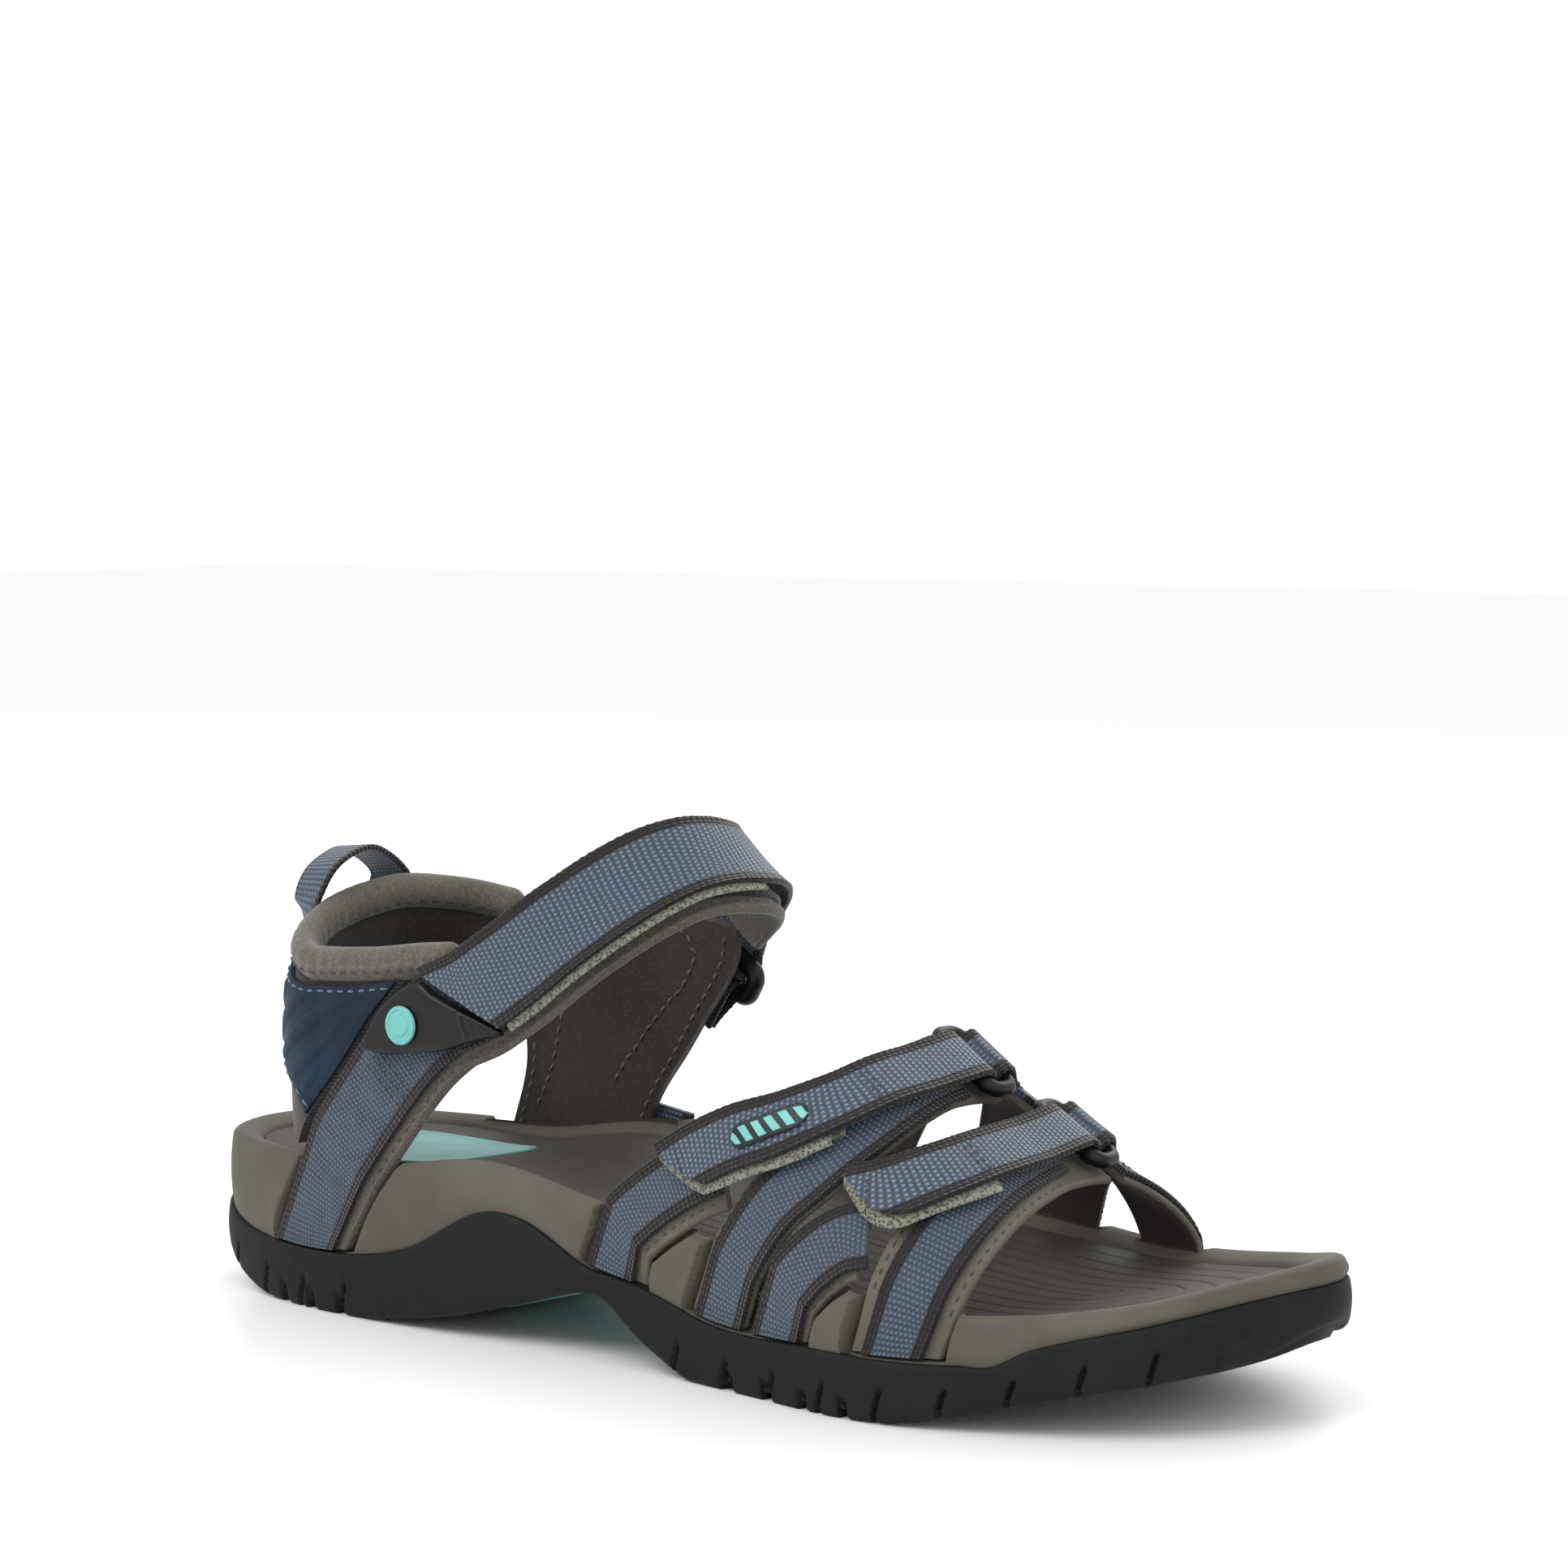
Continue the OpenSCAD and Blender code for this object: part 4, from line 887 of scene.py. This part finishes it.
def footbed():
    """A moulded bed with fine grooves that run round it, a little dished at the heel."""
    rings = [ring_at(BACK_STEP + 0.25, footbed_z(LOOP) - BED_T)]
    half, count = 28.0, 110
    for i in range(count + 1):
        share = i / count
        depth = share * half

        def height(q, depth=depth):
            inner = smoothstep(2.5, 5.5, depth)
            groove = 0.3 * inner * max(0.0, math.cos(2 * PI * depth / BED_PITCH)) ** 14
            dish = 0.55 * smoothstep(0, 9, depth)
            zone = 0.25 + 0.75 * smoothstep(-8, 18, q[:, 0])
            return footbed_z(q) + 0.05 - dish * 0.35 - groove * zone

        rings.append(fan(BACK_STEP + 0.25, share, height))
    rings.append(fan(BACK_STEP + 0.25, 1.0, lambda q: footbed_z(q) - BED_T))
    ring_solid("footbed_grooved", rings, M["bed"], "footbed", 50)


INSERT_POINTS = [[-112, 0], [-101, -14], [-80, -17], [-64, -11], [-55, -1], [-62, 8], [-80, 14], [-101, 13]]


def heel_insert():
    p = loop_curve(INSERT_POINTS, 20) * [1, KY]
    c = np.array([-82.0, -1.5])
    rings = []
    rim = ((0.97, -1.1), (0.985, -0.2), (0.98, 0.12), (0.955, 0.22), (0.93, 0.16))
    for share, up in rim + ((0.9, 0.02), (0.6, 0.02), (0.3, 0.02), (0.04, 0.02)):
        q = c + (p - c) * share
        rings.append(np.c_[q, footbed_z(q) + up])
    tube("heel_insert_disc", np.stack(rings), None, M["teal"], ROOT, ["heel_insert"])


# ---------- straps of the sole's body ----------
def leg_web(name, node, route, w, lo, mat):
    rows, along = leg_rows(route, web_profile(w, WEB_T), lo)
    tube(name, rows, along, mat, ROOT, [node])


def leg_lining(name, node, route, w, t, shift, mat, roll=0.12):
    rows, along = leg_rows(route, soft_profile(w, t, 0, 14, roll), SKIN_GAP, shift, 1.0, 0)
    return tube(name, rows, along, mat, ROOT, [node])


def line_on(route, across, lift, last):
    """Points and outward directions along a strap, across millimetres from its middle, short of its end."""
    c, v = evenly(path_points(route[1:]), 0.4)
    keep = v <= v[-1] + last
    t = travel(c)[keep]
    c = c[keep]
    b = unit(np.cross(outward(c), t))
    q = onto_foot(c + across * b)
    return q + lift * outward(q), outward(q)


def stitches(name, lines, mat, body, long=2.0, gap=1.1, r=0.26):
    """Rows of thread dashes that dip into the material at both ends."""
    points, faces = [], []
    count, sides = 7, 6
    for p, up in lines:
        d = np.r_[0, np.cumsum(np.linalg.norm(np.diff(p, axis=0), axis=1))]
        for a in np.arange(0.3, d[-1] - long, long + gap):
            s = np.linspace(a, a + long, count)
            c = np.stack([np.interp(s, d, p[:, k]) for k in range(3)], -1)
            n = unit(np.stack([np.interp(s, d, up[:, k]) for k in range(3)], -1))
            b = unit(np.cross(travel(c), n))
            bow = np.sin(np.linspace(0, PI, count))[:, None]
            c = c + n * (bow * r * 0.9 - r * 0.5)
            size = r * (0.35 + 0.65 * bow[:, :, None])
            k = np.arange(sides)[None, :, None] * 2 * PI / sides
            ring = c[:, None] + size * (np.cos(k) * b[:, None] + np.sin(k) * n[:, None])
            o = len(points) * count * sides
            points.append(ring.reshape(-1, 3))
            faces += [[i + o for i in f] for f in tube_faces(count, sides)]
    q = np.concatenate(points)
    add_mesh(name, q, faces, mat, body, (), q)


# Where some linings end, further on than or short of their webbing: two run on as tongues under the rings
LINING_ENDS = {
    "vamp_front": [[56.5, 26.8]],
    "instep": [[50.4, 86], [51.2, 101]],
    "toe": [[70.3, 90.5], [70.2, 107]],
}


def straps():
    wide = ANKLE_W + EDGE_IN
    o = leg_lining("ankle_lining_pad", "ankle_lining", ANKLE, wide, ANKLE_LINING_T, -1.5, M["padded"], 0.25)
    leg_web("ankle_web", "ankle_webbing", ANKLE, ANKLE_W, ANKLE_WEB, M["ankle"])
    front = VAMP_FRONT[:-1] + [[53.5, 24.2], [58.5, 28.8]]
    # each strap's node is named with "lining" or "webbing" in place of the star
    for name, node, route, extra, shift in (
        ("vamp_rear", "vamp_*_rear", VAMP_REAR, EDGE_IN, -1.5),
        ("instep", "instep_*", INSTEP[:-1] + [[50.3, 88.5]], 1.5, 0.75),
        ("vamp_front", "vamp_*_front", front, 1.5, -0.75),
        ("toe", "toe_*", TOE, 6, 0),
        ("inner_1", "medial_*_1", INNER_1, 1, 0),
        ("inner_2", "medial_*_2", INNER_2, 1, 0),
        ("inner_3", "medial_*_3", INNER_3, 1, 0),
        ("inner_4", "medial_*_4", INNER_4, 1.5, 0),
    ):
        under = route[:-1] + LINING_ENDS.get(name, route[-1:])
        lining, web = node.replace("*", "lining"), node.replace("*", "webbing")
        leg_lining(name + "_lining_edge", lining, under, VAMP_W + extra, VAMP_LINING_T, shift, M["lining"])
        leg_web(name + "_web", web, route, VAMP_W, VAMP_WEB, M["web"])
    leg_web("inner_rear_web", "medial_rear_webbing", INNER_REAR, ANKLE_W - 1, ANKLE_WEB, M["narrow"])
    leg_web("inner_front_web", "medial_front_webbing", INNER_FRONT, ANKLE_W - 6, ANKLE_WEB, M["slim"])
    for name, route, w, lo in (
        ("ankle", ANKLE_TAPE, ANKLE_W - 1, ANKLE_TAPE_LO),
        ("instep", INSTEP_TAPE, VAMP_W - 1, VAMP_TAPE),
        ("toe", TOE_TAPE, VAMP_W - 1, VAMP_TAPE),
    ):
        rows, along = strap_rows(route, soft_profile(w, TAPE_T, 0, 10), lo, 0, 1.0, 0)
        tube(name + "_pile", rows, along, M["pile"], ROOT, [name + "_loop_tape"])
    for name, f, w, r, leg, lo, mat in (
        ("ankle", ANKLE_FRAME, ANKLE_W - 1, ANKLE_RING_R, 10, ANKLE_WEB, "narrow"),
        ("instep", INSTEP_FRAME, VAMP_W - 0.5, VAMP_RING_R, 8, VAMP_WEB, "vamp_keeper"),
        ("toe", TOE_FRAME, VAMP_W - 0.5, VAMP_RING_R, 8, VAMP_WEB, "vamp_keeper"),
    ):
        rows, along = keeper_rows(f, web_profile(w, WEB_T, 0.05), r, leg, lo, 0.5)
        tube(name + "_keeper_web", rows, along, M[mat], ROOT, [name + "_ring_keeper"])


def opening_straps():
    for name, route, w, lo, lift, r, mat, trim in (
        ("instep", INSTEP_FLAP, VAMP_W, VAMP_FLAP, VAMP_BAR, VAMP_RING_R, "flap", 10),
        ("toe", TOE_FLAP, VAMP_W, VAMP_FLAP, VAMP_BAR, VAMP_RING_R, "flap", 10),
        ("ankle", ANKLE_FLAP, ANKLE_W, ANKLE_FLAP_LO, ANKLE_BAR, ANKLE_RING_R, "ankle_flap", 0),
    ):
        rows, along = flap_rows(route, web_profile(w, WEB_T), lo, lift, r + BAR_GAP, trim=trim)
        o = tube(name + "_flap_web", rows, along, M[mat], name + "_flap", [name + "_strap"])
        if name == "ankle":
            lean = math.radians(24)
            cut(o, (-55, 0, 74.8), (math.sin(lean), 0, math.cos(lean)))
    for name, route, w, lo, trim in (
        ("instep", INSTEP_HOOK, VAMP_W + 0.6, VAMP_HOOK, 8.5),
        ("toe", TOE_HOOK, VAMP_W + 0.6, VAMP_HOOK, 8.5),
        ("ankle", ANKLE_TAPE, ANKLE_W + 1.2, ANKLE_HOOK, 0),
    ):
        rows, along = strap_rows(route, soft_profile(w, TAPE_T, 0, 12), lo, -1.0, 0.8, 0, trim)
        tube(name + "_hook", rows, along, M["hook"], name + "_flap", [name + "_hook_tape"])
    c, v = evenly(path_points(BADGE), 0.25)
    end = np.clip(np.minimum(v, v[-1] - v) / 2.4, 0, 1)
    size = np.sqrt(1 - (1 - end) ** 2) * 0.92 + 0.08
    rows, along = hug_rows(c, travel(c), v, soft_profile(4.8, 0.6, 0.1, 12), VAMP_FLAP + WEB_T + 0.1, 0, 0)
    middle = rows[:, :12].mean(1, keepdims=True) * 0.5 + rows[:, 20:32].mean(1, keepdims=True) * 0.5
    rows = middle + (rows - middle) * size[:, None, None]
    tube("instep_patch", rows, along, M["patch"], "instep_flap", ["instep_badge"])


def cut(o, at, normal):
    """Everything of o behind a plane goes, and the cut closes."""
    bm = bmesh.new()
    bm.from_mesh(o.data)
    found = bmesh.ops.bisect_plane(
        bm, geom=bm.verts[:] + bm.edges[:] + bm.faces[:], plane_co=np.array(at) * MM, plane_no=normal,
        clear_inner=True)
    edges = [e for e in found["geom_cut"] if isinstance(e, bmesh.types.BMEdge)]
    bmesh.ops.holes_fill(bm, edges=edges)
    bm.to_mesh(o.data)
    bm.free()


# ---------- heel ----------
HEEL_X = -85
BACK = [[28, 19], [45, 20.7], [60, 20.7], [68, 19.5], [75, 16.5], [88, 13.5]]
ROUND_POWER, PER_DEGREE = 2.2, 0.7
LINING_F0 = [[28, -56], [40, -78], [47, -91.5], [54, -100.5], [62.6, -110.5], [70, -120.5], [76, -130]]
LINING_F1 = [[40, 95.5], [80, 95.5]]
LINING_LOW = [[0, 34], [0.12, 38], [0.3, 45], [0.5, 49], [0.75, 52], [1, 56]]
COLLAR_HIGH = [[0, 72], [0.08, 70], [0.2, 69], [0.35, 71.5], [0.5, 76.5], [0.65, 79.5], [0.8, 78.5], [1, 76]]
COUNTER_F1 = [[40, 90], [80, 92]]
COUNTER_LOW = [[0, 41], [0.12, 46], [0.3, 52], [0.5, 55], [0.75, 57], [1, 60]]
ROLL_R, COLLAR_T, COUNTER_T = 3.0, 2.3, 1.2


def side_y(x, z, s):
    u = np.clip((z - base_z(x)) / high_z(x), 0, 0.999)
    return mid_y(x) + s * half_y(x) * (1 - u**POWER) ** (1 / POWER)


def heel(f, z):
    f, z = np.broadcast_arrays(np.asarray(f, float), np.asarray(z, float))
    s = np.where(f < 0, -1.0, 1.0)
    x1 = HEEL_X + (np.abs(f) - 90) * PER_DEGREE
    far = np.stack([x1, side_y(x1, z, s), z], -1)
    r = np.radians(np.clip(f, -90, 90))
    hx = np.full(f.shape, float(HEEL_X))
    y0 = mid_y(hx)
    y1 = side_y(hx, z, s)
    near = np.stack([
        HEEL_X - read(BACK, z) * np.cos(r) ** (2 / ROUND_POWER),
        y0 + (y1 - y0) * np.abs(np.sin(r)) ** (2 / ROUND_POWER), z], -1)
    return np.where((np.abs(f) >= 90)[..., None], far, near)


def heel_out(f, z):
    return unit(np.cross(heel(f, z + 0.5) - heel(f, z - 0.5), heel(f + 0.5, z) - heel(f - 0.5, z)))


def heel_spots(F1, low, high, cols, rows, drop=0.0):
    u = np.linspace(0, 1, cols)[None, :]
    v = np.linspace(0, 1, rows)[:, None]
    z = read(low, u) + (read(high, u) - drop - read(low, u)) * v
    f = read(LINING_F0, z) + (read(F1, z) - read(LINING_F0, z)) * u
    return f, z, np.broadcast_to(u, z.shape), np.broadcast_to(v, z.shape)


def heel_along(p):
    step = np.r_[0, np.cumsum(np.linalg.norm(np.diff(p[len(p) // 2], axis=0), axis=1))]
    return np.stack([np.broadcast_to(step, p.shape[:2]), p[..., 2], np.zeros(p.shape[:2])], -1)


def heel_sheet(F1, low, high, cols, rows, drop=0.0):
    """A grid of places on the heel, with their outward directions, "along" values and shares both ways."""
    f, z, u, v = heel_spots(F1, low, high, cols, rows, drop)
    p = heel(f, z)
    return p, heel_out(f, z), heel_along(p), u, v


def collar_pad():
    p, n, along, _, _ = heel_sheet(LINING_F1, LINING_LOW, COLLAR_HIGH, 150, 40)
    o = shell("heel_collar_pad", p + (SKIN_GAP + COLLAR_T) * n, p + SKIN_GAP * n, along, M["dark"], ROOT,
              ["heel_collar_lining"])


def counter_panel():
    p, n, along, u, v = heel_sheet(COUNTER_F1, COUNTER_LOW, COLLAR_HIGH, 260, 60, 1.0)
    lo = SKIN_GAP + COLLAR_T + 0.2
    edge = np.minimum(np.minimum(v, 1 - v) * 30, np.minimum(u, 1 - u) * 90)
    inside = smoothstep(2.5, 4.5, edge)
    ribs = smoothstep(0.35, 0.8, 0.5 + 0.5 * np.sin(2 * PI * (along[..., 0] + along[..., 1] * 0.8) / 8.5))
    lift = lo + COUNTER_T - 0.35 * smoothstep(1.2, 0, edge) + 0.5 * ribs * inside
    shell("heel_counter_panel", p + lift[..., None] * n, p + lo * n, along, M["counter"], ROOT,
          ["heel_counter"])
    lines = [(p[k] + (lo + COUNTER_T - 0.05) * n[k], n[k]) for k in (3, 56)]
    stitches("counter_stitches", lines, M["stitch_blue"], ROOT, 2.2, 1.0, 0.28)


def collar_roll():
    u = np.linspace(0, 1, 220)
    z = read(COLLAR_HIGH, u) + ROLL_R + 0.6
    f = read(LINING_F0, z) + (read(LINING_F1, z) - read(LINING_F0, z)) * u
    more = np.linspace(1, 0, 14)[:-1]
    f = np.r_[f[0] - 15 * more, f]
    z = np.r_[z[0] + 1.0 * more, z]
    n = heel_out(f, z)
    c = heel(f, z) + (SKIN_GAP + COLLAR_T / 2) * n
    a = np.radians(np.arange(0, 360, 12))
    s = np.r_[0, np.cumsum(np.linalg.norm(np.diff(c, axis=0), axis=1))]
    end = np.clip(np.minimum(s, s[-1] - s) / 3.2, 0, 1)
    size = np.sqrt(1 - (1 - end) ** 2) * 0.9 + 0.1
    pucker = 1 + 0.03 * np.sin(2 * PI * s / 3.3)[:, None] * np.cos(a)[None, :] ** 2
    up = np.array([0, 0, 1.0])
    ring = c[:, None] + (size[:, None] * pucker)[..., None] * (
        3.1 * np.cos(a)[None, :, None] * n[:, None] + 3.7 * np.sin(a)[None, :, None] * up)
    shape = ring.shape[:2]
    round_it, on = np.broadcast_to(a * 3.3, shape), np.broadcast_to(s[:, None], shape)
    along = np.stack([round_it, on, np.zeros(shape)], -1)
    o = tube("heel_roll_pad", ring, along, M["roll"], ROOT, ["heel_collar_roll"])
    low = np.array([0, 0, -1.6])
    lines = [(c + 3.15 * n * 0.94 + low, n), (c - 3.0 * n * 0.94 + low, -n)]
    stitches("roll_stitches", lines, M["stitch_dark"], ROOT, 2.2, 1.1, 0.25)


def out(f, z):
    return heel_out(np.array([float(f)]), np.array([float(z)]))[0]


def on_heel(f, z, more=0.0):
    loop_lift = SKIN_GAP + COLLAR_T + COUNTER_T + 1.6
    return heel(np.array([f]), np.array([z]))[0] + (loop_lift + more) * out(f, z)


def pull_loop():
    places = [
        on_heel(-16, 64, -0.4), on_heel(-16, 70, 0.1), [-107.6, -12.6, 77], [-106.4, -13.8, 83],
        [-105.8, -9.5, 89.8], [-106, 0, 93.2], [-106.3, 7, 91.2], [-106, 12, 87],
        on_heel(24, 81, 2.2), on_heel(24, 73), on_heel(24, 66),
    ]
    faces = [
        out(-16, 64), out(-16, 70), [-0.8, -0.6, 0.1], [-0.3, -0.94, 0.15], [-0.15, -0.8, 0.6], [-0.1, 0, 1],
        [-0.1, 0.4, 0.9], [-0.15, 0.85, 0.5], [-0.7, 0.7, 0.1], out(24, 73), out(24, 66),
    ]
    both, v = evenly(np.hstack([open_curve(places, 24), open_curve(faces, 24)]), 0.7)
    c, face = both[:, :3], both[:, 3:]
    v = np.r_[0, np.cumsum(np.linalg.norm(np.diff(c, axis=0), axis=1))]
    t = travel(c)
    b = unit(np.cross(face, t))
    n = np.cross(t, b)
    profile = web_profile(10, WEB_T, 0.05)
    s, h = knobbed(profile, v, 0.08)
    rows = c[:, None] + s[..., None] * b[:, None] + (h - WEB_T / 2)[..., None] * n[:, None]
    along = np.stack([s, np.repeat(v[:, None], s.shape[1], 1), np.zeros_like(s)], -1)
    tube("heel_loop_web", rows, along, M["loop"], ROOT, ["heel_pull_loop"])


def quarter_lining():
    rear = [[0, -90], [0.25, -84.5], [0.45, -80.3], [0.6, -80.3], [1, -80.3]]
    front = [[0, -49], [0.25, -43], [0.45, -34.5], [0.65, -27], [0.85, -19], [1, -16]]
    top = [[0, 82], [0.5, 84], [1, 80]]
    v = np.linspace(0, 1, 70)[:, None]
    u = np.linspace(0, 1, 80)[None, :]
    x = read(rear, v) + (read(front, v) - read(rear, v)) * u
    z0 = read(EDGE, x) + FOOT_GAP
    z = z0 + (read(top, u) - z0) * v
    p = np.stack([x, side_y(x, np.maximum(z, base_z(x)), 1), z], -1)
    n = outward(p)
    pad = 0.5 * smoothstep(0, 0.06, u) * smoothstep(0, 0.06, 1 - u)
    along = np.stack([x, z, 0 * x], -1)
    low = SKIN_GAP + 0.35 - 0.3 * pad
    thick = SKIN_GAP + ANKLE_LINING_T
    o = shell("inner_quarter_pad", p + thick * n, p + low[..., None] * n, along, M["dark"], ROOT,
              ["medial_quarter_lining"])
    lines = [(p[6:, k] + (SKIN_GAP + 0.1) * n[6:, k], -n[6:, k]) for k in (4, 75)]
    lines += [(p[6:66, k] + thick * n[6:66, k], n[6:66, k]) for k in (4, 75)]
    lines.append((p[66, 4:76] + thick * n[66, 4:76], n[66, 4:76]))
    # the sewn lines on the inner face, by row and column of the grid
    ways = ((62, 18), (64, 58), (50, 66), (26, 50)), ((62, 22), (42, 17), (20, 10)), ((10, 20), (14, 70))
    for corners in ways:
        way = open_curve(corners, 16)
        i, j = np.round(way).astype(int).T
        lines.append((p[i, j] + (SKIN_GAP + 0.05) * n[i, j], -n[i, j]))
    stitches("quarter_stitches", lines, M["stitch_brown"], ROOT, 2.0, 1.0, 0.3)


# ---------- moulded pieces ----------
def pull_tab():
    low, high = open_curve(TAB_LOW, 12), open_curve(TAB_HIGH, 12)
    u = np.linspace(0, 1, 22)[:, None, None]
    q = low[None] + (high - low)[None] * u
    p = foot(q[..., 0], q[..., 1])
    n = outward(p)
    w = np.linspace(0, 1, q.shape[1])[None, :]
    edge = np.minimum(np.minimum(u[..., 0], 1 - u[..., 0]) * 9, np.minimum(w, 1 - w) * 34)
    crown = 1.0 * np.sqrt(np.clip(1 - (1 - np.clip(edge / 1.6, 0, 1)) ** 2, 0, 1)) - 1.0
    ridges = np.maximum(0, np.sin(2 * PI * w * 22))
    grip = 0.3 * smoothstep(0.72, 0.78, w) * ridges * smoothstep(0, 0.2, u[..., 0])
    hi = ANKLE_FLAP_LO + WEB_T + crown * 0.8 + grip
    along = np.stack([q[..., 0], q[..., 1], 0 * q[..., 0]], -1)
    shell("ankle_tab_moulded", p + hi[..., None] * n, p + ANKLE_HOOK * n, along, M["plastic"], "ankle_flap",
          ["ankle_pull_tab"])
    f = end_frame(PULL_TAB, ANKLE_FLAP_LO + WEB_T + 0.25)
    a = np.radians(np.arange(0, 360, 7.5))
    rings = []
    rim = ((3.95, 0), (4.0, 0.35), (3.85, 0.6), (3.3, 0.62), (3.15, 0.4))
    for r, h in rim + ((2.2, 0.4), (2.05, 0.62), (1.1, 0.66), (0.1, 0.66)):
        rings.append(f[0] + r * np.cos(a)[:, None] * f[1] + r * np.sin(a)[:, None] * f[2] + h * f[3])
    tube("tab_disc", np.stack(rings), None, M["teal"], "ankle_flap", ["pull_tab_badge"])


def strap_stitches():
    """Thread lines along the linings' sewn edges."""
    places = ((VAMP_REAR, -7.4), (VAMP_FRONT, -7.0), (TOE, -7.9), (TOE, 7.9), (INSTEP, 7.2))
    lines = [line_on(route, across, SKIN_GAP + VAMP_LINING_T - 0.03, -1.5) for route, across in places]
    stitches("lining_stitches", lines, M["stitch_dark"], ROOT, 1.8, 1.0, 0.2)
    lines = [line_on(ANKLE, -10.9, SKIN_GAP + ANKLE_LINING_T - 0.05, -2)]
    stitches("ankle_edge_stitches", lines, M["stitch_dark"], ROOT, 2.0, 1.0, 0.22)


def cross_bar(route, at, width, lift, is_leg=False, rows=2, apart=1.2):
    """Lines across a strap at a distance along it, or short of its end if that is below 0."""
    c, v = evenly(path_points(route[1:] if is_leg else route), 0.4)
    t = travel(c)
    lines = []
    if at < 0:
        at += v[-1]
    for r in range(rows):
        i = int(np.argmin(np.abs(v - at - r * apart)))
        b = unit(np.cross(outward(c[i : i + 1]), t[i : i + 1]))
        s = np.linspace(-width / 2, width / 2, 40)[:, None]
        q = onto_foot(c[i] + s * b)
        lines.append((q + lift * outward(q), outward(q)))
    return lines


def bar_stitches():
    """Bars of thread across the straps where plies are joined."""
    vamp_top, ankle_top = VAMP_FLAP + WEB_T, ANKLE_FLAP_LO + WEB_T
    for name, route, at, end in (("instep", INSTEP_FLAP, 41, 4), ("toe", TOE_FLAP, 22, 3.5)):
        lines = cross_bar(route, at, VAMP_W - 3.6, vamp_top)
        lines += cross_bar(route, end, VAMP_W - 4, vamp_top, rows=1)
        stitches(name + "_bars", lines, M["stitch_dark"], name + "_flap", 1.5, 0.5, 0.22)
    lines = cross_bar(ANKLE_FLAP, 82, ANKLE_W - 4, ankle_top)
    stitches("ankle_bars", lines, M["stitch_dark"], "ankle_flap", 1.5, 0.5, 0.24)
    web = VAMP_WEB + WEB_T
    lines = cross_bar(INSTEP, 47, VAMP_W - 3.6, web, True)
    lines += cross_bar(ANKLE, 20, ANKLE_W - 4, ANKLE_WEB + WEB_T, True, 3, 2.2)
    lines += cross_bar(INNER_REAR, -4, ANKLE_W - 5, ANKLE_WEB + WEB_T, True, 2, 2.0)
    for route in (INNER_1, INNER_2, INNER_3, INNER_4):
        lines += cross_bar(route, -3, VAMP_W - 4, web, True, 2, 1.4)
    stitches("root_bars", lines, M["stitch_dark"], ROOT, 1.6, 0.6, 0.22)


outsole()
midsole()
footbed()
heel_insert()
straps()
opening_straps()
collar_pad()
counter_panel()
collar_roll()
pull_loop()
quarter_lining()
pull_tab()
strap_stitches()
bar_stitches()


def repaint(node, mat):
    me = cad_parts[node].data
    for i in range(len(me.materials)):
        me.materials[i] = mat
    if not me.materials:
        me.materials.append(mat)


for ring in ("ankle_ring", "instep_ring", "toe_ring"):
    repaint(ring, M["plastic"])
repaint("arch_shank", M["teal"])
repaint("lasting_board", M["board"])


# ---------- studio ----------
def floor():
    me = bpy.data.meshes.new("floor")
    half = 4.0
    corners = [(-half, -half, 0), (half, -half, 0), (half, half, 0), (-half, half, 0)]
    me.from_pydata(corners, [], [(0, 1, 2, 3)])
    m = Mat("studio_floor", rough=0.35, spec=0.3)
    me.materials.append(m.done("f7f7f7"))
    o = bpy.data.objects.new("floor", me)
    bpy.context.scene.collection.objects.link(o)


def area(name, at, target, size, power):
    light = bpy.data.lights.new(name, "AREA")
    light.shape, light.size, light.energy = "DISK", size, power
    o = bpy.data.objects.new(name, light)
    o.location = at
    o.rotation_euler = (Vector(target) - Vector(at)).to_track_quat("-Z", "Y").to_euler()
    bpy.context.scene.collection.objects.link(o)


floor()
middle = (0.0, 0.0, 0.05)
area("key", (-0.3, -0.9, 1.1), middle, 0.9, 9)
area("fill", (1.1, -0.4, 0.7), middle, 1.2, 3)
area("back", (-0.2, 1.1, 0.9), middle, 1.2, 6)
world = bpy.data.worlds.new("studio")
world.use_nodes = True
world.node_tree.nodes["Background"].inputs[0].default_value = (1, 1, 1, 1)
world.node_tree.nodes["Background"].inputs[1].default_value = 1.0
bpy.context.scene.world = world
bpy.context.scene.view_settings.view_transform = "Standard"

# the photo's angle
camera = bpy.data.cameras.new("camera")
camera.lens = 90.6
eye = bpy.data.objects.new("camera", camera)
eye.location = (0.47655, -0.62856, 0.17837)
eye.rotation_euler = (math.radians(90 - 4.78), 0, math.radians(36.55))
bpy.context.scene.collection.objects.link(eye)
bpy.context.scene.camera = eye
